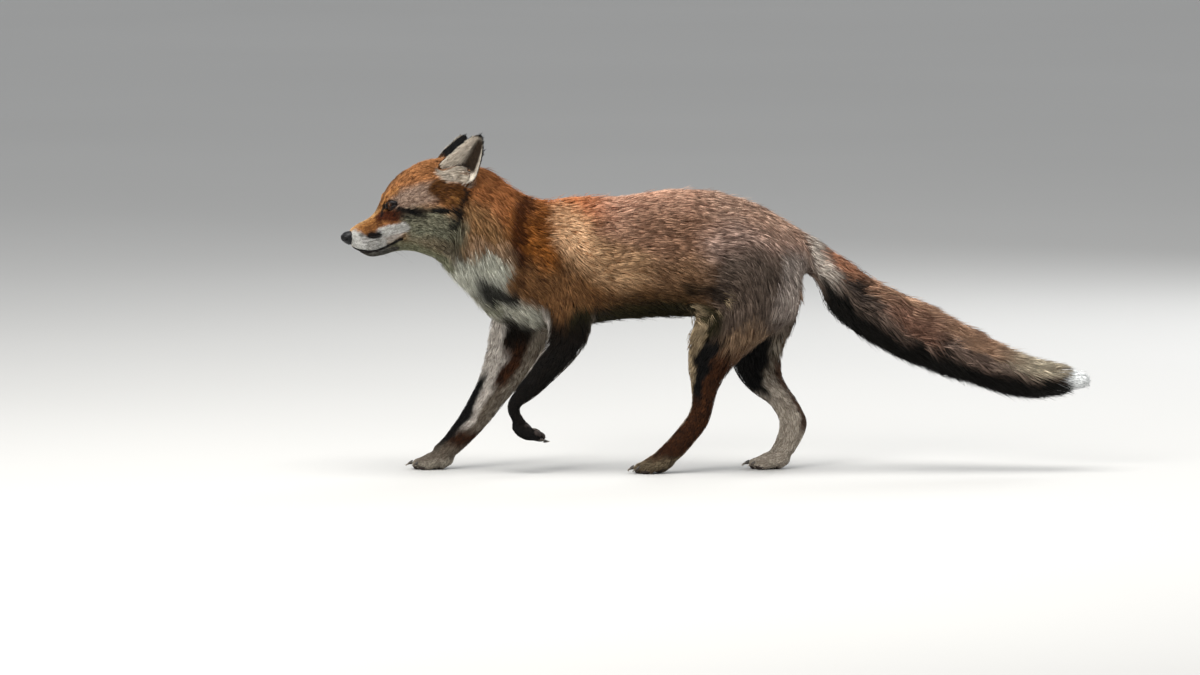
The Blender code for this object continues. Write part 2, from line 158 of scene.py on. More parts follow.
# Lines inside the fox along which its hair runs. Each station: x, how far out, z, radius of the
# body there, depth of the coat, length of the hair, and how much the hair also hangs down.
HEAD_LINE = (
    (-463, 0, 294, 9, 0.1, 2.0, 0),
    (-452, 0, 294, 14, 0.3, 2.6, 0),
    (-443, 0, 294.5, 16, 0.8, 3.4, 0),
    (-434, 0, 295, 17, 1.2, 4.0, 0),
    (-424, 0, 299, 21, 1.5, 5.0, 0.05),
    (-412, 0, 309, 27, 1.8, 6.0, 0.1),
    (-400, 0, 318, 36, 2.2, 7.5, 0.1),
    (-383, 0, 324, 44, 3.2, 10, 0.15),
    (-366, 0, 327, 53, 4.5, 13, 0.2),
    (-345, 0, 326, 60, 7.0, 17, 0.3),
)
BODY_LINE = (
    (-318, 0, 318, 58, 11, 25, 0.4),  # nape
    (-295, 0, 300, 60, 14, 30, 0.5),
    (-270, 0, 280, 62, 15, 31, 0.5),
    (-240, 0, 266, 70, 13, 28, 0.35),
    (-200, 0, 262, 75, 11, 25, 0.2),  # withers
    (-160, 0, 264, 75, 11, 24, 0.15),
    (-119, 0, 268, 72, 11, 25, 0.12),
    (-75, 0, 272, 73, 11, 26, 0.14),
    (-31, 0, 274, 73, 11, 27, 0.2),
    (12, 0, 273, 70, 11, 28, 0.35),
    (56, 0, 272, 60, 11, 28, 0.5),
    (87, 0, 270, 45, 10, 28, 0.5),
    (106, 0, 268, 32, 9, 27, 0.3),  # buttocks
    (120, 0, 266, 25, 8, 27, 0.2),
    (140, 0, 250, 33, 13, 34, 0.15),
    (160, 0, 228, 44, 20, 42, 0.12),
    (190, 0, 207, 46, 25, 47, 0.1),
    (231, 0, 184, 48, 27, 49, 0.1),  # thickest part of the brush
    (277, 0, 162, 45, 26, 48, 0.08),
    (322, 0, 143, 38, 22, 44, 0.05),
    (362, 0, 126, 32, 18, 40, 0.05),
    (398, 0, 116, 28, 14, 36, 0.05),
    (427, 0, 115, 22, 10, 30, 0),
    (450, 0, 114.5, 13, 6, 24, 0),
    (466, 0, 114, 6, 3, 14, 0),
)
HIND_FORWARD_LINE = (
    (46, 26, 262, 34, 11, 28, 0),
    (44, 31, 232, 34, 11, 29, 0),
    (38, 34, 200, 32, 10, 28, 0),
    (12, 36, 166, 33, 7, 22, 0),
    (-6, 36, 136, 26, 3.5, 14, 0),
    (-13, 35, 106, 19, 2.2, 9, 0),
    (-17, 34, 80, 16, 1.6, 8, 0),  # hock
    (-27, 33, 60, 16, 1.4, 7, 0),
    (-41, 31, 42, 15, 1.3, 6, 0),
    (-56, 30, 25, 14, 1.2, 5, 0),
    (-72, 30, 14, 13, 1.1, 5, 0),
    (-95, 30, 8, 10, 1.0, 4, 0),
)
HIND_BACK_LINE = (
    (52, 26, 264, 34, 11, 28, 0),
    (56, 31, 230, 34, 11, 29, 0),
    (54, 34, 192, 32, 9, 26, 0),
    (52, 36, 153, 32, 6, 18, 0),
    (58, 36, 120, 25, 3.5, 12, 0),
    (71, 35, 100, 20, 2.2, 9, 0),
    (86, 34, 84, 18, 1.7, 8, 0),  # hock
    (98, 33, 63, 16, 1.5, 8, 0),
    (97, 32, 48, 15, 1.4, 7, 0),
    (92, 31, 35, 14, 1.3, 6, 0),
    (84, 30, 20, 13, 1.2, 5, 0),
    (66, 30, 12, 13, 1.1, 5, 0),
    (48, 30, 8, 10, 1.0, 4, 0),
)
FRONT_FORWARD_LINE = (
    (-226, 26, 262, 30, 10, 24, 0.2),
    (-233, 31, 228, 32, 9, 22, 0.1),
    (-243, 34, 178, 36, 5, 16, 0),
    (-254, 34, 138, 28, 3, 11, 0),
    (-273, 32, 104, 20, 2, 9, 0),
    (-288, 31, 82, 17, 1.6, 8, 0),
    (-302, 29, 61, 16, 1.4, 7, 0),
    (-315, 28, 45, 15, 1.3, 6, 0),
    (-328, 27, 32, 14, 1.2, 6, 0),
    (-342, 27, 20, 14, 1.1, 5, 0),
    (-358, 27, 10, 12, 1.0, 4, 0),
    (-378, 27, 7, 9, 1.0, 4, 0),
)
FRONT_LIFTED_LINE = (
    (-188, 27, 270, 32, 10, 24, 0.2),
    (-184, 32, 234, 34, 10, 24, 0.1),
    (-181, 36, 184, 28, 6, 17, 0),
    (-184, 36, 165, 25, 4.5, 14, 0),
    (-198, 36, 145, 20, 2.8, 10, 0),
    (-214, 35, 126, 16, 2, 9, 0),
    (-229, 34, 108, 14, 1.6, 8, 0),
    (-243, 33, 94, 12, 1.4, 7, 0),
    (-251, 32, 84, 11, 1.3, 6, 0),  # wrist
    (-250, 32, 73, 11, 1.2, 5, 0),
    (-243, 32, 64, 12, 1.1, 5, 0),
    (-230, 32, 56, 13, 1.0, 4, 0),
    (-216, 32, 47, 10, 1.0, 4, 0),
)
EAR_BASE = Vector((-331, 36, 371))  # of the right ear, in the head's frame
EAR_TIP = Vector((-298, 49, 420))
EAR_OPENING = Vector((-0.62, 0.78, 0.1))  # the way that its hollow faces
EAR_UP = (EAR_TIP - EAR_BASE).normalized()
EAR_WIDE = EAR_UP.cross(EAR_OPENING).normalized()
EAR_IN = EAR_UP.cross(EAR_WIDE).normalized()  # from its opening to its back
EAR_SIDES = {"ear_left": -1, "ear_right": 1}
EAR_HALF_WIDTH = 27
EAR_FRONT_BASE = np.array([-337.0, 24.0, 390.0])
EAR_DRAWN = np.array([-10.0, 0.0, -9.0])  # how far the front edge's base is drawn forward
EAR_DRAWN_RIGHT = 0.35  # the right ear's share of that
EAR_SPREAD = 13.0
EAR_FOOT = ((-352, 26, 383), (-341, 43, 371), (-328, 44, 369), (-318, 42, 364))  # of the opening


class Line:
    """A line of stations: the hair near it runs along it."""

    def __init__(self, name, *parts):
        self.name = name
        rows = []
        for matrix, side, stations in parts:
            for x, out, z, *rest in stations:
                place = matrix @ Vector((x, side * out, z))
                rows.append((*place, *rest))
        rows = np.array(rows)
        self.side = parts[-1][1]
        self.points = rows[:, :3]
        self.values = rows[:, 3:]
        steps = np.linalg.norm(np.diff(self.points, axis=0), axis=1)
        self.run = np.concatenate([[0], np.cumsum(steps)])
        along = unit(np.diff(self.points, axis=0))
        self.tangents = unit(np.vstack([along[:1], along[:-1] + along[1:], along[-1:]]))

    def near(self, places):
        """For each place: its offset from the line, the line's direction, the run to there and
        the stations' values there."""
        best = np.full(len(places), np.inf)
        offset = np.zeros((len(places), 3))
        tangent = np.zeros((len(places), 3))
        run = np.zeros(len(places))
        values = np.zeros((len(places), self.values.shape[1]))
        for i in range(len(self.points) - 1):
            gap, t = from_segment(places, self.points[i], self.points[i + 1])
            distance = np.linalg.norm(gap, axis=1)
            closer = distance < best
            best[closer] = distance[closer]
            offset[closer] = gap[closer]
            t = t[closer]
            tangent[closer] = (1 - t) * self.tangents[i] + t * self.tangents[i + 1]
            run[closer] = (self.run[i] + t * (self.run[i + 1] - self.run[i]))[:, 0]
            values[closer] = (1 - t) * self.values[i] + t * self.values[i + 1]
        return offset, unit(tangent), run, values

    def turn_round(self, offset, tangent):
        """How far round the line an offset lies, from 0 to 1, with the join below."""
        across = np.array([0.0, 1.0, 0.0])
        up = unit(np.cross(tangent, across))
        across = np.cross(up, tangent)
        return np.arctan2(dot(offset, across), dot(offset, up)) / (2 * math.pi) + 0.5


def on_ears(parts):
    return np.char.startswith(parts, "ear")


def ear_stations():
    """The line up the middle of an ear."""
    rows = []
    for share in (-0.15, 0.2, 0.5, 0.8, 1):
        x, y, z = EAR_BASE.lerp(EAR_TIP, share)
        rows.append((x, y, z, 24 * (1 - 0.7 * share), 0.5, 4 + share, 0))
    return rows


SPINE = Line("spine", (HEAD, 0, HEAD_LINE), (DRAWN, 0, BODY_LINE))
LEGS = {
    "leg_hind_left": Line("hind_left", (DRAWN, -1, HIND_FORWARD_LINE)),
    "leg_hind_right": Line("hind_right", (DRAWN, 1, HIND_BACK_LINE)),
    "leg_front_left": Line("front_left", (DRAWN, -1, FRONT_LIFTED_LINE)),
    "leg_front_right": Line("front_right", (DRAWN, 1, FRONT_FORWARD_LINE)),
}
EARS = {name: Line(name, (HEAD, side, ear_stations())) for name, side in EAR_SIDES.items()}
DOWN = np.array([0.0, 0.0, -1.0])
FADING = 2.2  # how fast a line's say over the hair fades away from it
RUFF_MIDDLE = Vector((-345, 50, 298))  # of the cheek, in the head's frame
RUFF_REACH = (26, 24, 26)
RUFF_HANG = 0.5  # how much more its hair hangs
RUFF_DEEPER = 5
RUFF_LONGER = 11
SEAT_MIDDLE = Vector((106, 28, 228))  # of each buttock, where the hair hangs
SEAT_REACH = (30, 34, 44)
SEAT_HANG = 2.2


def lie_of_coat(places, parts):
    """For places on the fox, and the part each is on: the direction of the hair, and the depth
    and length of the coat in metres."""
    weight_sum = np.full(len(places), 1e-9)
    lie = np.zeros((len(places), 3))
    values = np.zeros((len(places), 4))
    on_ear = on_ears(parts)
    for line in (SPINE, *LEGS.values(), *EARS.values()):
        offset, tangent, _, near = line.near(places)
        reach = np.linalg.norm(offset, axis=1) / (near[:, 0] * MM)
        weight = np.exp(-FADING * reach**2) + (1e-7 if line is SPINE else 0)
        if line.name.startswith("ear"):
            weight = np.where(parts == line.name, 1, 0)
        else:
            weight = np.where(on_ear, 0, weight)
            if line.side:
                weight = weight * ease(places[:, 1] * line.side, -8 * MM, 4 * MM)
        weight_sum += weight
        lie += weight[:, None] * (tangent + near[:, 3:4] * DOWN)
        values += weight[:, None] * near
    values /= weight_sum[:, None]
    from_ruff = folded(in_head(places)) - RUFF_MIDDLE
    ruff = np.exp(-((from_ruff / RUFF_REACH) ** 2).sum(axis=1)) * ~on_ear
    lie += (weight_sum * ruff)[:, None] * RUFF_HANG * DOWN
    out = np.abs(places / MM) * [0, 1, 0]
    from_seat = in_drawn(places) * [1, 0, 1] + out - SEAT_MIDDLE
    seat = np.exp(-((from_seat / SEAT_REACH) ** 2).sum(axis=1)) * (parts != "tail")
    lie += (weight_sum * seat)[:, None] * SEAT_HANG * DOWN
    depth = values[:, 1] + RUFF_DEEPER * ruff
    length = values[:, 2] + RUFF_LONGER * ruff
    return unit(lie), depth * MM, length * MM


# ---------------------------------------------------------------- meshes as arrays


def new_object(name, mesh):
    obj = bpy.data.objects.new(name, mesh)
    bpy.context.scene.collection.objects.link(obj)
    return obj


def mesh_from(name, points, loops, sides):
    """A mesh whose faces all have the same number of sides."""
    mesh = bpy.data.meshes.new(name)
    loops = np.asarray(loops, np.int32).ravel()
    count = len(loops) // sides
    mesh.vertices.add(len(points))
    mesh.vertices.foreach_set("co", np.asarray(points, np.float32).ravel())
    mesh.loops.add(len(loops))
    mesh.loops.foreach_set("vertex_index", loops)
    mesh.polygons.add(count)
    mesh.polygons.foreach_set("loop_start", np.arange(0, len(loops), sides, dtype=np.int32))
    mesh.polygons.foreach_set("use_smooth", np.ones(count, bool))
    mesh.update(calc_edges=True)
    return mesh


def mesh_of(bm, name):
    """The mesh that a bmesh holds, smooth all over. The bmesh goes."""
    for face in bm.faces:
        face.smooth = True
    mesh = bpy.data.meshes.new(name)
    bm.to_mesh(mesh)
    bm.free()
    return mesh


def worn_by_fox(obj, material, replaced=()):
    """Gives a piece its material and its place in the model."""
    obj.data.materials.append(material)
    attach(obj, "root")
    if replaced:
        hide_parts(*replaced)
    return obj


def points_of(mesh):
    points = np.empty(len(mesh.vertices) * 3, np.float32)
    mesh.vertices.foreach_get("co", points)
    return points.reshape(-1, 3).astype(float)


def triangles_of(mesh):
    mesh.calc_loop_triangles()
    corners = np.empty(len(mesh.loop_triangles) * 3, np.int32)
    mesh.loop_triangles.foreach_get("vertices", corners)
    return corners.reshape(-1, 3)


def store(mesh, name, values):
    """Keeps numbers or vectors with a mesh's points, for its material to read."""
    kind, key = ("FLOAT", "value") if values.ndim == 1 else ("FLOAT_VECTOR", "vector")
    made = mesh.attributes.new(name, kind, "POINT")
    made.data.foreach_set(key, np.asarray(values, np.float32).ravel())


def neighbour_mean(values, edges, count):
    """The mean of each point's neighbours."""
    ends = np.concatenate([edges[:, 0], edges[:, 1]])
    others = np.concatenate([edges[:, 1], edges[:, 0]])
    degree = np.maximum(np.bincount(ends, minlength=count), 1)
    if values.ndim == 1:
        return np.bincount(ends, values[others], count) / degree
    columns = [np.bincount(ends, values[others, k], count) / degree for k in range(values.shape[1])]
    return np.stack(columns, axis=1)


def edges_of(triangles):
    pairs = np.concatenate([triangles[:, [0, 1]], triangles[:, [1, 2]], triangles[:, [2, 0]]])
    return np.unique(np.sort(pairs, axis=1), axis=0)


def normals_of(points, triangles):
    a, b, c = (points[triangles[:, k]] for k in range(3))
    across = np.cross(b - a, c - a)
    total = np.zeros_like(points)
    for axis in range(3):
        for k in range(3):
            total[:, axis] += np.bincount(triangles[:, k], across[:, axis], len(points))
    return unit(total)


def spread_out(values, edges, passes, share):
    """Draws each point's value towards its neighbours', again and again."""
    for _ in range(passes):
        values = values + share * (neighbour_mean(values, edges, len(values)) - values)
    return values


INWARD, OUTWARD = 0.6, -0.62  # shares of the way to the neighbours' mean, in turn


def smoothed(points, edges, passes):
    """Smooths a surface without shrinking it."""
    for _ in range(passes):
        for step in (INWARD, OUTWARD):
            points = points + step * (neighbour_mean(points, edges, len(points)) - points)
    return points


# ---------------------------------------------------------------- the skin

SKIN_VOXEL = 1.6 * MM
SKIN_TRIANGLES = 150_000
JOINING = 0.6 * MM  # each part grows by this, which closes the cuts between them
SKIN_SMOOTHING = 26  # passes over the joined parts
THICKNESS_SPREADING = 30  # passes
DEPTH_SPREADING = 16
ROUNDING = 30  # passes over the skin under deep coat
SKIN_STEPS = 4
MOST_DEPTH = 0.3  # of the body's thickness

EYE_CENTRE = Vector((-408, 18.1, 333.6))  # of the right eye, in the head's frame
EYE_RADIUS = 8.6
EYE_OUT = Vector((-0.68, 0.72, 0.1)).normalized()
EYE_ALONG = Vector((0.70, 0.68, 0.2))  # from the inner corner to the outer one
OPENING_LENGTH = 9.2
OPENING_ABOVE = 3.7
OPENING_BELOW = 2.8
MOUTH = (  # the line of the lips, as x and z in the head's frame
    (-457, 283),
    (-449, 278.5),
    (-437, 276.6),
    (-426, 278),
    (-416, 281.8),
    (-406, 287.2),
    (-397, 292),
)


# The groove and the raised edge of the lips: rise, distance from the mouth's line, half width.
LIPS = ((-1.5, 0, 1.3), (0.7, 3.4, 1.7))
# Ridges along the eye: place up from its middle, half width, half length, rise.
EYE_RIDGES = ((6.4, 2.6, 10, 1.9), (-7.5, 2.4, 9, 0.5))
EYE_WELL = 1.8  # by how much the skin's opening is larger than the lids'
EYE_BED = 1.6  # depth of the skin there under the eyeball's surface


def part_source(name):
    """One part, its corners joined, as a bmesh."""
    part = bmesh.new()
    part.from_mesh(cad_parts[name].data)
    bmesh.ops.remove_doubles(part, verts=part.verts, dist=1e-6)
    part.normal_update()
    return part


def body_source():
    """All the flesh, with the eyes and the nose to fill their seats, in one object."""
    whole = bmesh.new()
    for name in (*FLESH, "eye_left", "eye_right", "nose"):
        part = part_source(name)
        growth = 0 if name[:3] in ("eye", "nos") else JOINING
        for vert in part.verts:
            vert.co += vert.normal * growth
        piece = mesh_of(part, name)
        whole.from_mesh(piece)
        bpy.data.meshes.remove(piece)
    return new_object("body_source", mesh_of(whole, "body_source"))


def with_modifiers(obj):
    """The object's mesh with its modifiers applied. The object goes."""
    graph = bpy.context.evaluated_depsgraph_get()
    mesh = bpy.data.meshes.new_from_object(obj.evaluated_get(graph), depsgraph=graph)
    bpy.data.objects.remove(obj)
    return mesh


def outer_surface(mesh):
    """The points and triangles of the largest closed surface of a mesh."""
    points, triangles = points_of(mesh), triangles_of(mesh)
    label = np.arange(len(points))
    edges = edges_of(triangles)
    while True:
        low = np.minimum(label[edges[:, 0]], label[edges[:, 1]])
        lowered = label.copy()
        np.minimum.at(lowered, edges[:, 0], low)
        np.minimum.at(lowered, edges[:, 1], low)
        lowered = lowered[lowered]
        if (lowered == label).all():
            break
        label = lowered
    largest = np.bincount(label).argmax()
    kept = label == largest
    number = np.cumsum(kept) - 1
    return points[kept], number[triangles[kept[triangles[:, 0]]]]


def fineness(points):
    """How fine the skin has to be at each point: 1 on the face, ears and paws."""
    head = in_head(points)
    low = in_drawn(points)[:, 2]
    return np.maximum(ease(head[:, 0], -322, -350), 0.5 * ease(low, 60, 30))


def thinned(points, triangles):
    """Fewer triangles, mostly away from the head."""
    mesh = mesh_from("thinning", points, triangles, 3)
    obj = new_object("thinning", mesh)
    group = obj.vertex_groups.new(name="coarse")
    weights = 1 - fineness(points)
    for level in range(11):
        chosen = np.flatnonzero(np.round(weights * 10) == level)
        group.add(chosen.tolist(), level / 10, "REPLACE")
    modifier = obj.modifiers.new("Thin", "DECIMATE")
    modifier.ratio = min(1, SKIN_TRIANGLES / len(triangles))
    modifier.vertex_group = "coarse"
    modifier.vertex_group_factor = 8
    mesh = with_modifiers(obj)
    return points_of(mesh), triangles_of(mesh)


def tree_of(points, triangles):
    return BVHTree.FromPolygons(points.tolist(), triangles.tolist(), all_triangles=True)


def part_finder():
    """A tree of all the flesh solids, and the part that each of its faces is on."""
    corners, faces, owners = [], [], []
    for name in FLESH:
        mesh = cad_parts[name].data
        base = len(corners)
        corners += [vert.co.copy() for vert in mesh.vertices]
        faces += [[base + i for i in face.vertices] for face in mesh.polygons]
        owners += [name] * len(mesh.polygons)
    return BVHTree.FromPolygons(corners, faces), owners


def surface_at(places, finder):
    """The nearest places on the outside of the fox, and the part that each is on."""
    tree, owners = finder
    found = [tree.find_nearest(place) for place in places.tolist()]
    return np.array([hit[0][:] for hit in found]), np.array([owners[hit[2]] for hit in found])


def thickness_at(points, normals, tree):
    """How thick the body is under each point."""
    found = np.full(len(points), 0.2)
    for i, (point, normal) in enumerate(zip(points, normals)):
        start = Vector(point - normal * MM)
        hit = tree.ray_cast(start, Vector(-normal), 0.2)
        if hit[0] is not None:
            found[i] = hit[3] + MM
    return found


def eye_frame(side):
    """Row frame of one eye: along the opening, up across it, out. Its unit is a millimetre."""
    mirror = Vector((1, side, 1))
    out = EYE_OUT * mirror
    along = EYE_ALONG * mirror
    along = (along - out * along.dot(out)).normalized()
    up = out.cross(along)
    up = up if up.z > 0 else -up
    axes = Matrix((along, up, out)).transposed().to_4x4()
    return HEAD @ Matrix.Translation(EYE_CENTRE * mirror) @ axes


def by_each_eye(points):
    """Row points in the frame of each eye in turn, as three rows."""
    for side in (-1, 1):
        yield moved(eye_frame(side).inverted(), points).T


def ball_height(a, b):
    """Height of the eyeball over the plane through its middle."""
    return np.sqrt(np.maximum(EYE_RADIUS**2 - a**2 - b**2, 0))


def inside_opening(a, b, margin):
    """Below 1 inside the eye's opening, grown by a margin."""
    high = np.where(b > 0, OPENING_ABOVE, OPENING_BELOW) + margin
    return np.sqrt((a / (OPENING_LENGTH + margin)) ** 2 + (b / high) ** 2)


def line_distance(places, line):
    """Distance from each place to a line of points, both with as many coordinates."""
    line = np.array(line, float)
    if len(line) == 1:
        return np.linalg.norm(places - line[0], axis=1)
    best = np.full(len(places), np.inf)
    for a, b in zip(line, line[1:]):
        best = np.minimum(best, np.linalg.norm(from_segment(places, a, b)[0], axis=1))
    return best


def lip_distance(head):
    """Distance from the line of the mouth, in the head's frame; twice it in front."""
    front = ease(head[:, 0], -444, -451) * ease(np.abs(head[:, 1]), 13, 8)
    return line_distance(head[:, [0, 2]], MOUTH) * (1 + 1.2 * front)


def shape_face(points, normals):
    """Opens the eyes, sinks the line of the mouth and raises the lips, brows and pads."""
    head = in_head(points)
    mouth = line_distance(head[:, [0, 2]], MOUTH)
    on_muzzle = ease(head[:, 0], -380, -395) * ease(np.abs(head[:, 1]), 1.5, 5)
    rise = sum(height * np.exp(-(((mouth - off) / wide) ** 2)) for height, off, wide in LIPS)
    points = points + normals * (rise * on_muzzle * MM)[:, None]
    head = in_head(points)
    from_nose = (head - np.array(NOSE_CENTRE))[:, 1:] / [9.0, 7.6]
    behind_nose = np.linalg.norm(from_nose, axis=1) < 1
    head[:, 0] = np.where(behind_nose, np.maximum(head[:, 0], NOSE_SEAT), head[:, 0])
    points = moved(HEAD, head)
    for side in (-1, 1):
        place = eye_frame(side)
        a, b, h = moved(place.inverted(), points).T
        near = (h > -2) & (inside_opening(a, b, 8) < 1)
        raised = h
        for up, wide, long, rise in EYE_RIDGES:
            raised = raised + np.exp(-(((b - up) / wide) ** 2) - (a / long) ** 2) * rise
        from_middle = inside_opening(a, b, EYE_WELL)
        well = ease(from_middle, 1.05, 0.8)
        floor = np.where(from_middle < 1.05, ball_height(a, b) - EYE_BED, h)
        opened = (1 - well) * raised + well * np.minimum(raised, floor)
        points = moved(place, np.stack([a, b, np.where(near, opened, h)], axis=1))
    return points


def make_skin(finder):
    """The fox's whole skin as one closed surface, under its coat by the coat's depth."""
    obj = body_source()
    remesh = obj.modifiers.new("Join", "REMESH")
    remesh.mode = "VOXEL"
    remesh.voxel_size = SKIN_VOXEL
    points, triangles = outer_surface(with_modifiers(obj))
    points = smoothed(points, edges_of(triangles), SKIN_SMOOTHING)
    points, triangles = thinned(points, triangles)
    edges = edges_of(triangles)
    _, parts = surface_at(points, finder)
    _, depth, _ = lie_of_coat(points, parts)
    thickness = thickness_at(points, normals_of(points, triangles), tree_of(points, triangles))
    thickness = spread_out(thickness, edges, THICKNESS_SPREADING, 0.5)
    depth = np.minimum(depth + JOINING, MOST_DEPTH * thickness)
    depth = spread_out(depth, edges, DEPTH_SPREADING, 0.5)
    for _ in range(SKIN_STEPS):
        points = points - normals_of(points, triangles) * (depth / SKIN_STEPS)[:, None]
        points = smoothed(points, edges, 2)
    under_deep_coat = ease(depth, 3 * MM, 8 * MM)[:, None]
    points = spread_out(points, edges, ROUNDING, 0.5 * under_deep_coat)
    points = shape_face(points, normals_of(points, triangles))
    return points, triangles, parts


# ---------------------------------------------------------------- colours of the coat

# Each colour: its pale strands, its deep ones, and how much of its strands' ends is dark.
COLOURS = {
    "ribs": ((152, 108, 68), (78, 50, 28), 0.4),
    "back": ((249, 161, 102), (147, 80, 40), 0.25),
    "shoulder": ((174, 106, 43), (95, 50, 13), 0.25),
    "buff": ((250, 209, 166), (177, 129, 88), 0.15),
    "tan": ((230, 189, 146), (134, 97, 64), 0.25),
    "flank": ((184, 146, 112), (98, 68, 44), 0.3),
    "grizzle": ((255, 210, 181), (125, 82, 64), 0.6),
    "low grizzle": ((195, 152, 123), (93, 62, 45), 0.5),
    "rump": ((234, 197, 172), (124, 92, 76), 0.45),
    "hip": ((225, 192, 175), (98, 74, 63), 0.6),
    "thigh": ((125, 109, 97), (37, 28, 23), 0.5),
    "thigh edge": ((218, 204, 193), (108, 95, 88), 0.3),
    "tips": ((187, 153, 120), (69, 50, 34), 0.2),
    # the fox's own dark-grey belly, darkened further with painted shade
    "belly": ((56, 51, 28), (18, 15, 7), 0.3),
    "dark": ((33, 24, 16), (6, 5, 3), 0.2),
    "black": ((24, 22, 21), (3, 3, 3), 0),
    "white": ((221, 219, 215), (145, 143, 135), 0),
    "chest": ((238, 238, 223), (141, 139, 124), 0.1),
    "cream": ((192, 171, 138), (112, 94, 70), 0.1),
    "pale leg": ((208, 200, 184), (116, 106, 92), 0.1),
    "shin": ((88, 52, 28), (32, 14, 5), 0.2),
    "mauve": ((164, 153, 137), (87, 76, 64), 0.2),
    "pale hock": ((224, 212, 196), (128, 116, 102), 0.1),
    "front pale": ((246, 238, 228), (160, 150, 140), 0.1),
    "low neck": ((190, 158, 128), (104, 78, 58), 0.3),
    "throat": ((150, 150, 120), (70, 71, 52), 0.1),
    "toes": ((148, 134, 108), (66, 55, 40), 0.1),
    "neck": ((182, 139, 94), (93, 62, 35), 0.3),
    "nape": ((194, 126, 74), (94, 50, 22), 0.5),
    # painted shade in the crease in front of the shoulder
    "fold": ((75, 33, 6), (30, 8, 1), 0.2),
    "crown": ((205, 143, 90), (85, 45, 17), 0.35),
    "temple": ((180, 155, 135), (89, 64, 51), 0.5),
    "muzzle": ((202, 146, 82), (109, 59, 29), 0.1),
    "bridge": ((212, 176, 126), (150, 106, 64), 0),
    "below eye": ((97, 48, 21), (37, 11, 3), 0.1),
    "under ear": ((109, 68, 28), (51, 26, 5), 0.2),
    "ruff": ((160, 160, 136), (44, 43, 32), 0.3),
    "chin": ((84, 80, 74), (34, 32, 28), 0),
    "tail root": ((250, 240, 226), (116, 98, 88), 0.45),
    "tail brown": ((176, 134, 112), (74, 46, 36), 0.45),
    "tail rust": ((198, 146, 114), (110, 66, 46), 0.35),
    "tail top": ((236, 193, 159), (121, 83, 62), 0.4),
    "tail side": ((167, 141, 126), (57, 46, 41), 0.5),
    "tail end": ((255, 241, 212), (138, 121, 102), 0.3),
    "tail under": ((24, 21, 17), (3, 3, 2), 0),
    "tail tip": ((253, 254, 253), (232, 235, 234), 0),
    "ear fur": ((220, 208, 192), (144, 132, 116), 0),
    "ear edge": ((230, 222, 208), (166, 156, 140), 0),
    # painted shade in the cup of the ear
    "shaded ear hollow": ((66, 50, 34), (27, 19, 11), 0),
}

# Marks on the body, seen from the side, alike on left and right: colour, line (x, z), radius,
# softness of the edge as a share of the radius, and strength. Later ones lie over earlier ones.
BODY_MARKS = (
    ("back", ((-235, 352), (-170, 356), (-100, 360)), 42, 1.0, 1),
    ("grizzle", ((-95, 345), (-40, 352), (20, 345)), 54, 1.1, 0.9),
    ("low grizzle", ((-80, 290), (-30, 292), (10, 292)), 40, 1.2, 0.9),
    ("tan", ((-156, 272), (-120, 256), (-98, 256)), 25, 1.1, 0.9),
    ("flank", ((-60, 250), (-10, 250)), 26, 1.1, 0.7),
    ("shoulder", ((-232, 322), (-220, 276)), 27, 0.9, 0.9),
    ("ribs", ((-238, 242), (-214, 218), (-200, 200)), 24, 1.2, 0.9),
    # painted shade: the dark of the armpit between the chest and the shoulder
    ("dark", ((-214, 186), (-200, 172)), 14, 1.3, 0.7),
    ("low neck", ((-294, 284), (-278, 279), (-257, 274)), 12.5, 1.2, 0.8),
    ("buff", ((-184, 318), (-168, 290)), 24, 1.1, 0.95),
    ("rump", ((30, 345), (80, 322), (112, 300)), 40, 1.0, 0.95),
    ("hip", ((20, 285), (60, 270), (92, 262)), 32, 1.1, 0.9),
    ("thigh", ((38, 240), (40, 205), (30, 180)), 46, 0.8, 0.95),
    ("thigh", ((84, 244), (82, 190)), 32, 0.8, 0.95),
    ("tips", ((20, 158), (52, 166)), 20, 1.0, 0.8),
    ("thigh edge", ((104, 256), (100, 230), (90, 202)), 15, 1.3, 0.85),
    ("nape", ((-318, 372), (-262, 362), (-246, 350)), 32, 0.9, 0.9),
    ("chest", ((-350, 256), (-308, 246), (-282, 247)), 26, 0.6, 1),
    ("chest", ((-286, 214), (-258, 200), (-236, 188)), 22, 0.8, 0.9),
    # painted shade: a black bar for the shadowed fold under the ruff, between the chest and the far
    # front leg
    ("black", ((-290, 226), (-272, 222), (-250, 218)), 11, 1.4, 0.95),
    ("throat", ((-280, 206), (-274, 200)), 8, 1.2, 0.7),
    # painted shade: the dark of the far front leg's armpit, below the chest
    ("dark", ((-262, 176), (-246, 166)), 13, 0.9, 0.8),
    # painted shade: the dark crease in front of the shoulder
    ("fold", ((-236, 338), (-243, 300), (-246, 268)), 8, 1.2, 0.85),
    ("fold", ((-244, 268), (-238, 235)), 7, 1.2, 0.45),
    # the dark belly: partly its own dark-grey fur, partly painted shade under the body
    ("belly", ((-160, 180), (-90, 184), (-20, 192)), 26, 0.7, 1),
    ("dark", ((-34, 232), (-12, 231), (6, 226)), 9, 1.1, 0.8),
    ("cream", ((-21, 205), (-29, 200), (-34, 176)), 8, 1.2, 0.85),
)

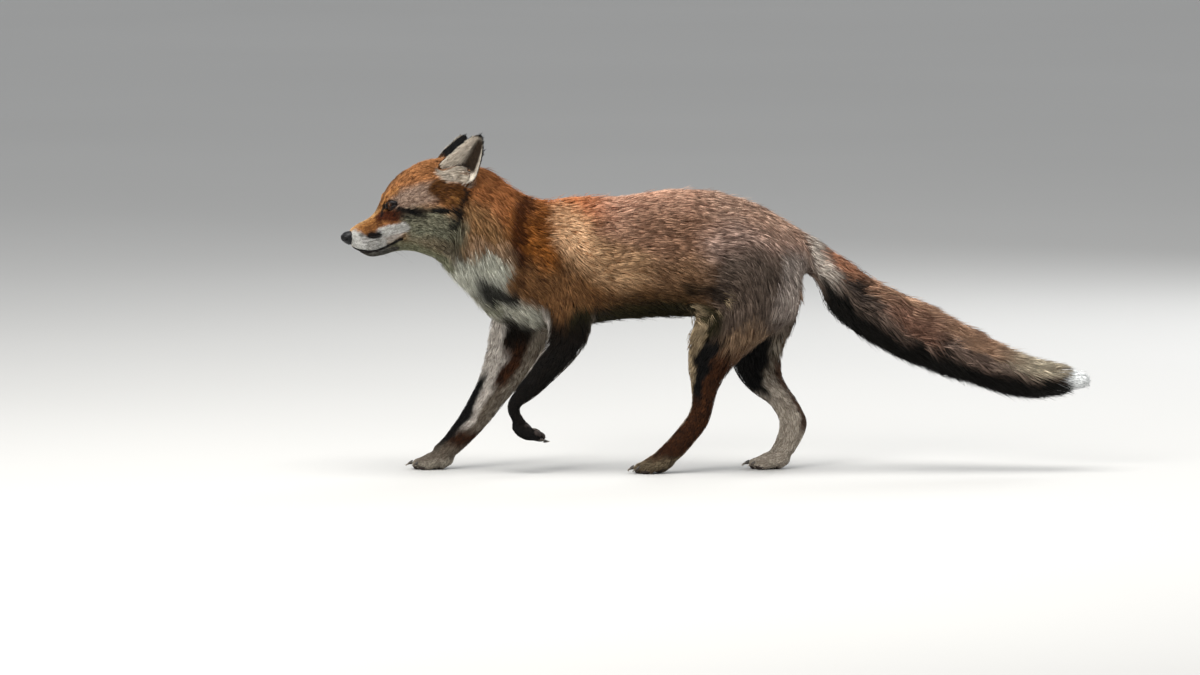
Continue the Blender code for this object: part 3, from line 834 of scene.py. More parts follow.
# Marks on the head, in its own frame, alike on left and right: as above, with lines (x, out, z).
HEAD_MARKS = (
    ("chest", ((-440, 0, 268), (-390, 0, 262), (-342, 0, 250)), 24, 0.8, 0.9),
    ("temple", ((-398, 34, 341), (-376, 46, 349), (-362, 50, 352)), 17, 0.9, 1),
    ("crown", ((-352, 20, 386), (-330, 24, 392)), 24, 0.8, 0.9),
    ("muzzle", ((-452, 6, 309), (-432, 8, 318), (-418, 12, 325)), 14, 0.6, 1),
    ("bridge", ((-456, 0, 309), (-440, 0, 319), (-428, 0, 327)), 7, 1.2, 0.8),
    ("below eye", ((-423, 15, 321), (-408, 26, 322), (-394, 35, 321)), 8, 0.9, 1),
    ("below eye", ((-440, 13, 305), (-424, 16, 311)), 4.5, 1.3, 0.6),
    ("muzzle", ((-416, 10, 340), (-404, 18, 350)), 7, 1.0, 0.8),
    # partly the fox's darker brow hair, partly painted shade on the far side of the brow
    ("dark", ((-424, 0, 334), (-411, 0, 352), (-396, 0, 371)), 8, 1.4, 0.65),
    ("ruff", ((-380, 40, 311), (-358, 50, 311), (-340, 52, 302)), 20, 0.9, 0.95),
    ("ruff", ((-372, 30, 288), (-348, 38, 284)), 24, 1.0, 0.8),
    ("throat", ((-398, 10, 281), (-368, 10, 268), (-342, 8, 262)), 17, 0.9, 0.9),
    ("dark", ((-340, 34, 286), (-328, 34, 270)), 12, 1.4, 0.4),
    ("under ear", ((-354, 48, 356), (-343, 57, 347), (-327, 54, 346)), 14, 0.5, 1),
    ("muzzle", ((-341, 59, 341), (-331, 58, 341)), 5, 1.3, 0.5),
    ("white", ((-455, 8, 293), (-440, 13, 286), (-424, 16, 285)), 11, 0.5, 1),
    ("white", ((-422, 19, 300), (-409, 26, 303), (-396, 32, 306)), 7, 0.6, 1),
    ("white", ((-412, 20, 294), (-402, 27, 299)), 6, 0.9, 0.7),
    ("black", ((-434, 16, 298), (-426, 18, 298)), 5, 0.9, 1),
    ("dark", ((-448, 13, 298), (-434, 16, 299)), 2.6, 1.2, 0.6),
    ("dark", ((-446, 14, 292), (-428, 18, 295)), 1.1, 1.2, 0.5),
    ("dark", ((-444, 15, 287), (-426, 18, 291)), 1.0, 1.2, 0.45),
    ("chin", ((-450, 0, 273), (-430, 4, 271), (-404, 10, 278)), 7, 0.9, 0.95),
    ("black", ((-403, 31, 330), (-394, 37, 328), (-383, 44, 327)), 3.2, 0.9, 1),
    ("dark", ((-402, 30, 325), (-386, 40, 323), (-376, 46, 322)), 6.5, 1.3, 0.6),
    ("black", ((-386, 42, 327), (-379, 46, 326)), 4.6, 1.1, 0.9),
    ("dark", ((-383, 44, 328), (-373, 49, 327), (-362, 54, 329)), 2.8, 1.4, 0.75),
    ("black", ((-418, 13, 335), (-422, 15, 323)), 2.8, 1.0, 0.9),
    ("black", ((-362, 53, 327), (-350, 59, 326), (-339, 62, 325), (-330, 61, 328)), 3.8, 0.9, 1),
    # painted shadow: the dark line where the cheek's ruff ends over the neck
    ("black", ((-316, 46, 354), (-320, 52, 344), (-326, 58, 332)), 2.4, 0.9, 0.95),
    ("black", ((-328, 60, 325), (-328, 60, 318)), 5.5, 1.0, 0.95),
    ("black", ((-328, 60, 316), (-333, 59, 308), (-338, 56, 298)), 4.0, 1.1, 0.9),
    ("dark", ((-321, 54, 339), (-304, 53, 336)), 1.8, 1.2, 0.6),
    ("ear fur", ((-348, 34, 377), (-341, 43, 371), (-328, 44, 370), (-317, 41, 366)), 8, 0.6, 1),
    ("ear fur", ((-345, 32, 381), (-335, 36, 382), (-322, 34, 381)), 8.5, 0.6, 1),
    # painted shadow: a thin dark line under the pale fur at the ear's foot
    ("dark", ((-348, 45, 362), (-334, 49, 360), (-322, 45, 359)), 2.0, 1.2, 0.6),
)


def linear(colour):
    """A colour as the eye sees it, as the light that it throws back."""
    c = np.array(colour, float) / 255
    return np.where(c < 0.04045, c / 12.92, ((c + 0.055) / 1.055) ** 2.4)


class Paint:
    """The colours of the coat at some places, laid on one mark after another."""

    def __init__(self, count, name):
        self.pale = np.tile(linear(COLOURS[name][0]), (count, 1))
        self.deep = np.tile(linear(COLOURS[name][1]), (count, 1))
        self.tips = np.full(count, float(COLOURS[name][2]))

    def lay(self, name, mask):
        pale, deep, tips = COLOURS[name]
        self.pale += mask[:, None] * (linear(pale) - self.pale)
        self.deep += mask[:, None] * (linear(deep) - self.deep)
        self.tips += mask * (tips - self.tips)

    def lay_all(self, marks, share):
        """Lays several marks, each as strong as its mask, on a share of every place."""
        for name, mask in marks:
            self.lay(name, mask * share)


def mark_mask(places, line, radius, softness, strength):
    """How much of a mark's colour lies on each place."""
    half = radius * softness / 2
    distance = line_distance(places, line)
    return strength * ease(distance, radius + half, radius - half)


def hind_leg_marks(z, inner, forward, is_near):
    """Colours on a hind leg and their masks, from the height, the share that faces the other
    leg, and how far forward each place is, from -1 to 1."""
    knee = (0.3 if is_near else 0.8) * ease(z, 98, 142)
    return (
        ("shin", ease(z, 168, 132)),
        ("mauve", ease(z, 190, 150) * inner),
        ("pale hock", ease(z, 126, 96) * inner),
        ("black", ease(forward + knee, 0.12, 0.42) * ease(z, 180, 162) * ease(z, 80, 102)),
        ("cream", ease(forward, 0.7, 0.88) * ease(z, 240, 220) * ease(z, 62, 78) * is_near),
        ("shin", ease(forward, -0.5, -0.85) * ease(z, 150, 120) * ease(z, 36, 56) * 0.9),
        ("toes", ease(z, 26, 12) * (1 - inner) * 0.8),
    )


def front_leg_marks(z, inner, forward, is_near):
    """The same on a front leg."""
    low_inner = inner * ease(z, 40, 62)
    front_edge = ease(forward - 0.35 * ease(z, 66, 96), 0.25, 0.55)
    return (
        ("dark", ease(z, 206, 168)),
        ("black", ease(z, 190, 140) * (1 - inner) * 0.5),
        ("shin", ease(z, 172, 140) * inner * 0.85),
        ("mauve", inner * ease(forward, -0.3, -0.6) * ease(z, 206, 184) * ease(z, 40, 58)),
        ("mauve", inner * ease(z, 110, 90) * ease(z, 40, 58) * 0.8),
        # painted shadow: the chest's shadow on the upper inner side of each front leg
        ("dark", inner * ease(forward, -0.1, 0.15) * ease(z, 148, 164) * ease(z, 204, 190) * 0.9),
        ("front pale", inner * ease(forward, 0.45, 0.65) * ease(z, 222, 200)),
        ("front pale", low_inner * ease(forward, 0.1, 0.35) * ease(z, 156, 130)),
        ("front pale", low_inner * ease(forward, -0.2, 0.1) * ease(z, 110, 90)),
        ("black", front_edge * ease(z, 126, 108) * ease(z, 8, 24)),
        ("dark", ease(z, 60, 44) * ease(z, 20, 32) * ease(forward, -0.6, -0.2) * 0.15),
        ("mauve", ease(z, 36, 18) * 0.8 * (not is_near)),
        ("pale leg", ease(z, 15, 7) * 0.8 * (not is_near)),
    )


def paint_legs(paint, places, parts, ragged):
    """Dark stockings, pale inner sides and the edges of the legs."""
    for name, line in LEGS.items():
        offset, tangent, _, near = line.near(places)
        size = near[:, 0] * MM
        mine = (parts == name) | (parts == name.replace("leg", "paw"))
        over = (parts == "trunk") & (np.linalg.norm(offset, axis=1) < size * 1.15)
        mine = (mine | over) & (places[:, 1] * line.side > -2 * MM)
        outer = offset[:, 1] * line.side / size + 0.3 * ragged
        forward = unit(np.cross(np.array([0.0, 1.0, 0.0]), tangent))
        forward = dot(offset, forward * np.where(forward[:, :1] < 0, 1, -1)) / size
        marks = hind_leg_marks if "hind" in name else front_leg_marks
        z = in_drawn(places)[:, 2] + 6 * ragged
        inner = ease(outer, 0.25, -0.25)
        paint.lay_all(marks(z, inner, forward + 0.25 * ragged, line.side < 0), mine)


def paint_tail(paint, places, drawn, ragged):
    """The brush: rusty above, black below, with a pale root and a white tip."""
    offset, tangent, _, near = SPINE.near(places)
    x = drawn[:, 0]
    up = unit(np.cross(tangent, np.array([0.0, 1.0, 0.0])))
    size = near[:, 0] * MM * 0.95
    height = dot(offset, up * np.where(up[:, 2:] > 0, 1, -1)) / size + 0.3 * ragged
    side_band = ease(height, -0.3, 0.1) * ease(height, 0.85, 0.5)
    on_tail = ease(x, 112, 128) * ease(drawn[:, 2], 330, 300)
    root = x + 0.5 * (250 - drawn[:, 2])
    marks = (
        ("tail side", 1),
        ("thigh", ease(x, 225, 190) * 0.7),
        ("tail root", ease(root, 172, 144) * ease(height, -0.6, 0.1)),
        ("tail top", ease(height, 0.2, 0.6) * ease(x, 170, 215)),
        ("tail brown", side_band * ease(x, 205, 230) * ease(x, 300, 268)),
        ("tail rust", ease(height, 0.35, 0.7) * ease(x, 132, 148) * ease(x, 215, 190)),
        ("black", np.exp(-(((x - 184) / 20) ** 2) - ((height - 0.35) / 0.32) ** 2) * 0.9),
        ("tail end", ease(x, 340, 400) * ease(height, -0.3, 0.3)),
        ("tail under", ease(height, -0.08, -0.38) * ease(x, 122, 140) * ease(x, 446, 440)),
        ("tail under", ease(x, 424, 434) * 0.6 * ease(height, 0.5, 0.0)),
        ("tail tip", ease(x + 3 * ragged, 437, 443)),
    )
    paint.lay_all(marks, on_tail)


def ear_place(places, side):
    """Places on one ear: share of its height, and place across it from -1 to 1, with the edge
    nearer the forehead at 1."""
    from_base = in_head(places) * [1, side, 1] - EAR_BASE
    share = from_base @ np.array(EAR_UP) / (EAR_TIP - EAR_BASE).length
    half = EAR_HALF_WIDTH * (1 - np.clip(share, 0, 0.98) ** 1.2) ** 0.6 + 1
    front = -1 if EAR_WIDE.x > 0 else 1
    return share, front * (from_base @ np.array(EAR_WIDE)) / half


def spread_ears(points):
    """Draws the front edge of each ear's base forward, over the brow."""
    head = in_head(points)
    for side in (-1, 1):
        gap = (head - EAR_FRONT_BASE * [1, side, 1]) / EAR_SPREAD
        drawn = EAR_DRAWN * [1, side, 1] * (1 if side < 0 else EAR_DRAWN_RIGHT)
        head += np.exp(-(gap**2).sum(axis=1))[:, None] * drawn
    return moved(HEAD, head)


def ear_inward(side):
    """Row-frame direction from an ear's opening to its back."""
    turned = HEAD.to_3x3() @ (EAR_IN * Vector((1, side, 1)))
    return np.array(turned.normalized())


def paint_ears(paint, places, parts, normals, ragged):
    """Black backs and edges, and pale fur round a hollow darkened with painted shade."""
    for name, side in EAR_SIDES.items():
        share, across = ear_place(places, side)
        inside = ease(dot(normals, ear_inward(side)), 0.1, -0.25)
        outside = 1 - inside
        # painted shade deep in the ear's cup
        hollow = ease(across, 0.42, 0.08) * ease(across, -0.74, -0.56)
        hollow *= ease(share, 0.12, 0.3) * ease(share, 0.97, 0.85)
        marks = (
            ("black", outside * ease(share + 0.1 * ragged, 0.12, 0.3)),
            ("under ear", outside * ease(share + 0.1 * ragged, 0.3, 0.12)),
            ("ear fur", inside),
            ("shaded ear hollow", hollow * inside),
            ("ear edge", inside * ease(across, 0.8, 0.92) * 0.5),
            ("ear edge", inside * ease(across, -0.62, -0.76)),
            ("ear edge", inside * ease(share, 0.2, 0.06) * ease(across, 0.1, -0.3)),
            ("black", ease(share, 0.9, 0.96)),
            ("black", ease(across, -0.9, -0.98) * ease(share, 0.45, 0.65)),
        )
        paint.lay_all(marks, parts == name)


# How far the edges of the marks wander: distance, size of the bends and seed, coarse and fine.
BODY_WANDER = ((7, 24, 10), (3.5, 7, 14))
HEAD_WANDER = ((1.6, 9, 20), (1.0, 3.2, 24))


def wandering(drawn, bends):
    """Shifts of places, in mm, which make the edges of marks irregular."""
    coarse, fine = (far * noise_vectors(drawn, size, seed) for far, size, seed in bends)
    return coarse + fine


def coat_colours(places, parts, normals):
    """The fox's markings at places on it, with painted shade in its folds, hollows and underside."""
    drawn = in_drawn(places)
    ragged = 0.6 * noise(drawn, 16, 3) + 0.4 * noise(drawn, 5, 4)
    flat = (drawn + wandering(drawn, BODY_WANDER))[:, [0, 2]]
    paint = Paint(len(places), "ribs")
    paint.lay("neck", ease(drawn[:, 0], -232, -252))
    for colour, *mark in BODY_MARKS:
        paint.lay(colour, mark_mask(flat, *mark))
    # painted shade: places on the trunk that face down take the dark belly colour
    under = ease(normals[:, 2], -0.35, -0.8) * ease(drawn[:, 0], -215, -190) * ease(drawn[:, 0], 60, 20)
    paint.lay("belly", under * (parts == "trunk") * 0.9)
    head = in_head(places)
    near_marks = head + wandering(drawn, HEAD_WANDER)
    face = near_marks * [1, 0, 1] + np.abs(head) * [0, 1, 0]
    on_head = ease(face[:, 0], -326, -346)
    paint.lay("crown", on_head)
    for colour, *mark in HEAD_MARKS:
        paint.lay(colour, mark_mask(face, *mark) * (drawn[:, 0] < -285))
    lips = lip_distance(head)
    paint.lay("black", on_head * ease(lips, 3.0, 1.2) * ease(head[:, 0], -388, -396))
    for a, b, h in by_each_eye(places):
        paint.lay("black", on_head * (h > 0) * ease(inside_opening(a, b, 1.2), 1.25, 1.0))
    paint_legs(paint, places, parts, ragged)
    paint_tail(paint, places, drawn, ragged)
    paint_ears(paint, places, parts, normals, ragged)
    return paint


# ---------------------------------------------------------------- materials


class Value:
    """The number at a material's socket. Arithmetic on it adds Math nodes."""

    def __init__(self, finish, socket):
        self.finish = finish
        self.socket = socket

    def __add__(self, other):
        return self.finish.math("ADD", self, other)

    __radd__ = __add__

    def __sub__(self, other):
        return self.finish.math("SUBTRACT", self, other)

    def __rsub__(self, other):
        return self.finish.math("SUBTRACT", other, self)

    def __mul__(self, other):
        return self.finish.math("MULTIPLY", self, other)

    __rmul__ = __mul__

    def __pow__(self, other):
        return self.finish.math("POWER", self, other)


class Finish:
    """One procedural material on a Principled shader."""

    def __init__(self, name, **constants):
        self.material = bpy.data.materials.new(name)
        self.material.use_nodes = True
        self.tree = self.material.node_tree
        self.shader = self.tree.nodes["Principled BSDF"]
        for key, value in constants.items():
            self.set(key.replace("_", " ").title().replace("Ior", "IOR"), value)

    def set(self, socket, value):
        self.feed(self.shader.inputs[socket], value)

    def feed(self, socket, value):
        if isinstance(value, Value):
            self.tree.links.new(value.socket, socket)
        else:
            socket.default_value = value

    def node(self, kind, settings, values, output=0):
        """A node with its settings, then its sockets' values. Returns one output of it."""
        made = self.tree.nodes.new(kind)
        for key, setting in settings.items():
            setattr(made, key, setting)
        for socket, value in values.items():
            self.feed(made.inputs[socket], value)
        return Value(self, made.outputs[output])

    def math(self, operation, *values):
        settings = {"operation": operation, "use_clamp": False}
        return self.node("ShaderNodeMath", settings, dict(enumerate(values)))

    def ramp(self, value, low, high):
        """0 at low and below, 1 at high and above, smooth between."""
        settings = {"interpolation_type": "SMOOTHSTEP"}
        values = {"Value": value, "From Min": low, "From Max": high}
        return self.node("ShaderNodeMapRange", settings, values)

    def mix(self, share, first, second):
        """A colour between two others."""
        settings = {"data_type": "RGBA", "clamp_factor": True}
        return self.node("ShaderNodeMix", settings, {0: share, 6: first, 7: second}, 2)

    def stored(self, name, vector=False):
        """What the mesh holds under this name."""
        output = "Vector" if vector else "Fac"
        return self.node("ShaderNodeAttribute", {"attribute_name": name}, {}, output)

    def place(self):
        return self.node("ShaderNodeTexCoord", {}, {}, "Object")

    def grain(self, vector, scale, detail=2.0, roughness=0.5):
        values = {"Vector": vector, "Scale": scale, "Detail": detail, "Roughness": roughness}
        return self.node("ShaderNodeTexNoise", {}, values, "Fac")

    def cells(self, vector, scale, feature="F1"):
        values = {"Vector": vector, "Scale": scale}
        return self.node("ShaderNodeTexVoronoi", {"feature": feature}, values, "Distance")

    def bump(self, height, strength, distance):
        values = {"Height": height, "Strength": strength, "Distance": distance}
        self.set("Normal", self.node("ShaderNodeBump", {}, values))


def rgb(*colour):
    """A colour as the eye sees it, for a shader's socket."""
    return (*linear(colour), 1.0)


def coat_finish():
    """Hair: deep at the root, pale towards the end, with dark ends where the coat is grizzled."""
    finish = Finish("coat", roughness=0.66, specular_ior_level=0.14)
    along, strand, lock = finish.stored("along"), finish.stored("strand"), finish.stored("lock")
    lit = finish.ramp(along, 0.05, 0.7) * 0.55 + 0.8 * lock + 0.6 * strand - 0.6
    colour = finish.mix(lit, finish.stored("deep", True), finish.stored("pale", True))
    ends = finish.ramp(along, 0.78, 0.98) * finish.ramp(strand, 0.45, 0.6) * finish.stored("tips")
    colour = finish.mix(ends, colour, rgb(34, 22, 18))
    patches = finish.grain(finish.place(), 140.0)
    finish.set("Base Color", finish.mix(patches * 0.3, colour, finish.stored("deep", True)))
    finish.set("Roughness", 0.55 + 0.2 * strand)
    return finish.material


def skin_finish():
    """The skin with its short under-hair: the coat's colours, streaked along the hair's lie."""
    finish = Finish("skin", roughness=0.75, specular_ior_level=0.2)
    comb = finish.stored("comb", True)
    streaks = finish.grain(comb, 1.0, 3.0, 0.6)
    fine = finish.grain(comb, 2.6, 2.0, 0.6)
    lit = finish.ramp(streaks * 0.7 + fine * 0.3, 0.38, 0.66)
    colour = finish.mix(lit * 0.8, finish.stored("deep", True), finish.stored("pale", True))
    finish.set("Base Color", finish.mix(finish.stored("bare"), colour, rgb(30, 22, 20)))
    finish.set("Roughness", 0.85 - 0.25 * finish.stored("bare"))
    finish.bump(streaks + fine * 0.5, 0.6, 0.0012)
    return finish.material


def iris_finish():
    """A dark amber eye with an upright pupil under a wet surface."""
    wet = {"coat_weight": 0.14, "coat_roughness": 0.03}
    finish = Finish("eye", roughness=0.2, specular_ior_level=0.05, **wet)
    off_middle, across = finish.stored("off_middle"), finish.stored("across")
    fibres = finish.grain(finish.stored("spoke", True), 3.0, 3.0)
    amber = finish.mix(fibres, rgb(24, 12, 5), rgb(66, 36, 12))
    amber = finish.mix(finish.ramp(off_middle, 0.55, 0.95), amber, rgb(10, 6, 4))
    colour = finish.mix(finish.ramp(off_middle, 1.0, 1.08), amber, rgb(14, 10, 9))
    colour = finish.mix(finish.ramp(across, 1.08, 0.96), colour, rgb(3, 3, 3))
    finish.set("Base Color", colour)
    return finish.material


def leather_finish(name, dark, light, scale, roughness, wet=0.0):
    """Bare pebbled skin, near black where the mesh holds hollow: painted shade in the nostrils and the
    groove.
    """
    finish = Finish(name, specular_ior_level=0.2, coat_weight=wet, coat_roughness=0.2)
    place = finish.place()
    pebbles = finish.cells(place, scale)
    worn = finish.grain(place, scale * 0.2)
    colour = finish.mix(worn * 0.8 + pebbles * 0.2, dark, light)
    # painted shade: nostrils and groove go near black
    finish.set("Base Color", finish.mix(finish.stored("hollow"), colour, rgb(4, 4, 4)))
    finish.set("Roughness", roughness + 0.2 * (worn - 0.5))
    finish.bump(pebbles * -1.0 + 1.0, 0.5, 0.0004)
    return finish.material


def horn_finish():
    """Claws: dark horn, paler where it wears at the point."""
    finish = Finish("claw_horn", roughness=0.35, specular_ior_level=0.5)
    ribs = finish.grain(finish.place(), 900.0, 3.0)
    worn = finish.ramp(finish.stored("along"), 0.3, 1.0)
    colour = finish.mix(worn * 0.7 + ribs * 0.3, rgb(26, 21, 18), rgb(104, 90, 74))
    finish.set("Base Color", colour)
    finish.set("Roughness", 0.3 + 0.2 * ribs)
    finish.bump(ribs, 0.25, 0.0002)
    return finish.material


def whisker_finish():
    finish = Finish("whisker", roughness=0.4)
    along = finish.stored("along")
    finish.set("Base Color", finish.mix(along, rgb(18, 15, 13), rgb(60, 52, 46)))
    return finish.material


def floor_finish():
    finish = Finish("floor", roughness=0.8, specular_ior_level=0.2)
    clouds = finish.grain(finish.place(), 0.6)
    finish.set("Base Color", finish.mix(clouds, rgb(190, 189, 186), rgb(197, 196, 193)))
    return finish.material


# ---------------------------------------------------------------- the skin's object

STREAK = np.array([7, 0.9, 0.9]) * MM  # length of a streak of hair, and its width both ways
# the skin takes the coat's colours darkened: painted shade down between the tufts
SKIN_SHADE = 0.75  # of the coat's colours, down between the tufts


def comb_of(points, parts):
    """Coordinates that run along the hair and round the body, for streaks."""
    comb = np.zeros((len(points), 3))
    best = np.full(len(points), np.inf)
    for number, line in enumerate((SPINE, *LEGS.values(), *EARS.values())):
        offset, _, run, near = line.near(points)
        reach = np.linalg.norm(offset, axis=1) / (near[:, 0] * MM)
        if line.side:
            reach = np.where(points[:, 1] * line.side > 0, reach, 9)
        if line.name.startswith("ear"):
            reach = np.where(parts == line.name, 0, 99)
        closer = reach < best
        best[closer] = reach[closer]
        found = np.stack([run, offset[:, 1], offset[:, 2]], axis=1) / STREAK
        comb[closer] = found[closer] + number * 40
    return comb


def make_skin_object(points, triangles, parts, normals, finder):
    """The skin, which is bare on the lips and round the eyes."""
    mesh = mesh_from("skin", spread_ears(points), triangles, 3)
    paint = coat_colours(*surface_at(points, finder), normals)
    store(mesh, "pale", paint.pale * SKIN_SHADE)
    store(mesh, "deep", paint.deep * SKIN_SHADE)
    store(mesh, "comb", comb_of(points, parts))
    bare = np.zeros(len(points))
    for a, b, h in by_each_eye(points):
        bare = np.maximum(bare, (h > 0) * ease(inside_opening(a, b, 1.0), 1.2, 1.0))
    head = in_head(points)
    bare = np.maximum(bare, ease(lip_distance(head), 2.0, 0.9) * ease(head[:, 0], -388, -398))
    store(mesh, "bare", bare)
    return worn_by_fox(new_object("skin", mesh), skin_finish(), FLESH)


# ---------------------------------------------------------------- the coat


def limb_parts(end):
    """The legs and paws at one end of the fox."""
    return tuple(f"{part}_{end}_{side}" for part in ("leg", "paw") for side in ("left", "right"))


# Pieces of the coat: name, material slot, parts, limits of x in drawn mm (in the head's frame
# on the head), number of tufts.
COAT = (
    ("coat_face", "fur_russet", ("head",), (-999, -385), 32_000),
    ("coat_crown", "fur_russet", ("head",), (-385, 999), 30_000),
    ("coat_ears", "fur_dark", ("ear_left", "ear_right"), (-999, 999), 15_000),
    ("coat_neck", "fur_russet", ("neck",), (-999, 999), 23_000),
    ("coat_shoulders", "fur_russet", ("trunk",), (-999, -140), 22_000),
    ("coat_back", "fur_russet", ("trunk",), (-140, -20), 22_000),
    ("coat_rump", "fur_russet", ("trunk",), (-20, 999), 24_000),
    ("coat_brush", "fur_dark", ("tail",), (-999, 300), 20_000),
    ("coat_brush_end", "fur_white", ("tail", "tail_tip"), (300, 999), 12_000),
    ("coat_front_legs", "fur_dark", limb_parts("front"), (-999, 999), 17_000),
    ("coat_hind_legs", "fur_dark", limb_parts("hind"), (-999, 999), 21_000),
)
TUFT_WIDTH = (0.32, 0.037, 1.5)  # mm: least, more for each mm of length, most
THICKNESS = 0.8  # of half a tuft's width
ROOT_SINK = 0.5 * MM
LENGTHS = (0.72, 1.18)  # of the coat's length there, from the shortest to the longest
HEIGHTS = (0.62, 1.0)  # of its depth
WIDTHS = (0.7, 1.25)
GUARD_SHARE = 0.08  # hairs that stand out of the coat
GUARD_RISE = (0.45, 5 * MM)  # above their height, as a share of it, and at most
SWIRLS = ((0.30, 26 * MM, 40), (0.22, 9 * MM, 50))  # strength, size and seed
STRAY = 0.07  # how much each tuft strays by itself
SHORT_FOOT = 0.35  # round an ear's foot, by how much hair is shorter
LOW_FOOT = 0.75  # and how much lower it lies
MIDDLE_HEIGHT = 0.72  # of the height at its end
TO_MIDDLE = 0.42  # share of a tuft's reach from its root to its middle
BRUSH_END = Vector((467, 0, 113))  # the point that the hair at its end runs to
BRUSH_END_RUN = (408, 442)  # x over which the hair turns to that point
BRUSH_END_SPREAD = np.array([2, 4, 4]) * MM
SHOWN = 0.65  # the share of a tuft's length at which it is most seen
CROWDING = 1.1  # how much closer short hair grows than long
HANG = 1.8  # of hair that would grow straight out
SAME_WAY = 0.25  # cosine between two normals, above which it is the same side of the skin
CLUMP = 9  # tufts to a lock
PULLS = (0.25, 0.6)  # how far a lock draws its tufts together
HOLLOW_CROWDING = 0.12  # share of the tufts that grow in an ear's hollow
PATCH = 0.003  # a tuft's place on the map of its piece
MAP_MARGIN = 0.01


def face_pieces(middles, parts):
    """The number of the coat piece that each face of the skin belongs to, or -1."""
    drawn = in_drawn(middles)[:, 0]
    head = in_head(middles)[:, 0]
    piece = np.full(len(middles), -1)
    for number, (_, _, names, (low, high), _) in enumerate(COAT):
        x = head if names == ("head",) else drawn
        piece[np.isin(parts, names) & (x >= low) & (x < high)] = number
    return piece


def bare_places(middles):
    """True where no hair grows: eyes, lips, nose and soles."""
    head = in_head(middles)
    bare = np.zeros(len(middles), bool)
    for a, b, h in by_each_eye(middles):
        bare |= (h > -1) & (inside_opening(a, b, 1.5) < 1)
    bare |= (lip_distance(head) < 0.9) & (head[:, 0] < -396)
    bare |= np.linalg.norm((head - np.array(NOSE_CENTRE)) / [9.5, 10, 8.6], axis=1) < 1
    return bare | (middles[:, 2] < 1.2 * MM)


def scatter(points, triangles, parts, rng):
    """Roots of all the tufts: place, the skin's normal there, part, coat piece and face."""
    a, b, c = (points[triangles[:, k]] for k in range(3))
    middles = (a + b + c) / 3
    across = np.cross(b - a, c - a)
    area = np.linalg.norm(across, axis=1) / 2
    flat = unit(across)
    face_parts = parts[triangles[:, 0]]
    _, _, length = lie_of_coat(middles, face_parts)
    crowding = np.clip(length / MM, 2.5, 40) ** -CROWDING
    weight = area * crowding
    weight[bare_places(middles)] = 0
    for name, side in EAR_SIDES.items():
        mine = face_parts == name
        share, across = ear_place(middles, side)
        hollow = mine & (dot(flat, ear_inward(side)) < -0.1) & (across < 0.3) & (share > 0.1)
        weight[hollow] *= HOLLOW_CROWDING
    piece = face_pieces(middles, face_parts)
    chosen = []
    for number, (_, _, _, _, count) in enumerate(COAT):
        count = count
        total = np.cumsum(np.where(piece == number, weight, 0))
        spots = (np.arange(count) + rng.random(count)) / count * total[-1]
        chosen.append(np.minimum(np.searchsorted(total, spots, side="right"), len(total) - 1))
    face = np.concatenate(chosen)
    u, v = np.sqrt(rng.random(len(face))), rng.random(len(face))
    shares = np.stack([1 - u, u * (1 - v), u * v], axis=1)
    normals = normals_of(points, triangles)
    corners = triangles[face]
    places = np.einsum("nk,nkj->nj", shares, points[corners])
    turned = unit(np.einsum("nk,nkj->nj", shares, normals[corners]))
    return places, turned, face_parts[face], piece[face]


def tangent_part(vectors, normals):
    return unit(vectors - normals * dot(vectors, normals)[:, None])


def hanging(lie, normals):
    """The lie of the hair where it would grow straight out of the body: it hangs instead."""
    outward = np.clip(dot(lie, normals), 0, 1)[:, None]
    return lie + HANG * outward * DOWN


def onto_skin(places, facing, tree):
    """The nearest places on the skin, and its normals there. A place whose skin faces another
    way, as past the edge of an ear, stays where it is."""
    found = [tree.find_nearest(place)[:2] for place in places.tolist()]
    spots = np.array([spot[:] for spot, _ in found])
    normals = np.array([normal[:] for _, normal in found])
    other = dot(normals, facing) < SAME_WAY
    spots[other], normals[other] = places[other], facing[other]
    return spots, normals


def ear_hair(roots, normals, parts, lie, length, height):
    """Long pale hair from the front edge of each ear, which lies back over the hollow."""
    for name, side in EAR_SIDES.items():
        share, across = ear_place(roots, side)
        inside = (parts == name) & (dot(normals, ear_inward(side)) < -0.1)
        edge = ease(across, 0.1, 0.6) * inside
        low = ease(share, 0.35, 0.05) * inside
        long = np.maximum(edge * ease(across, 0.98, 0.86) * ease(share, 0.9, 0.55), low)
        back = HEAD.to_3x3() @ Vector((0.75, 0.1 * side, 0.35))
        lie = unit(lie * (1 - 0.6 * long)[:, None] + long[:, None] * np.array(back.normalized()) * 0.9)
        length = length * (1 + 1.8 * long)
        height = height + long * 2.2 * MM
    return lie, length, height


def drawn_to_point(roots, normals, middle, end, length, rng):
    """Turns the hair at the end of the brush towards one point."""
    past_end = ease(in_drawn(roots)[:, 0], *BRUSH_END_RUN)[:, None]
    spread = rng.normal(0, 1, roots.shape) * BRUSH_END_SPREAD
    aim = np.array(DRAWN @ BRUSH_END) + spread - roots
    reach = np.minimum(np.linalg.norm(aim, axis=1), length)[:, None]
    middle = middle + past_end * (roots + unit(aim + normals * 9 * MM) * 0.5 * reach - middle)
    end = end + past_end * (roots + unit(aim) * reach - end)
    return middle, end


def gathered(roots, parts, middle, end, length, rng):
    """Draws the tufts of each lock together. Returns their middles and ends, and for each tuft
    the one that its lock gathers round."""
    leads = rng.permutation(len(roots))[: len(roots) // CLUMP]
    nearby = KDTree(len(leads))
    for number, lead in enumerate(leads):
        nearby.insert(roots[lead], number)
    nearby.balance()
    lead = leads[[nearby.find(root)[1] for root in roots.tolist()]]
    close = np.linalg.norm(end - end[lead], axis=1) < 0.7 * length
    pull = (rng.uniform(*PULLS, len(roots)) * close)[:, None]
    pull[on_ears(parts)] *= 0.4
    middle = middle + (middle[lead] - middle) * (0.35 * pull)
    return middle, end + (end[lead] - end) * pull, lead


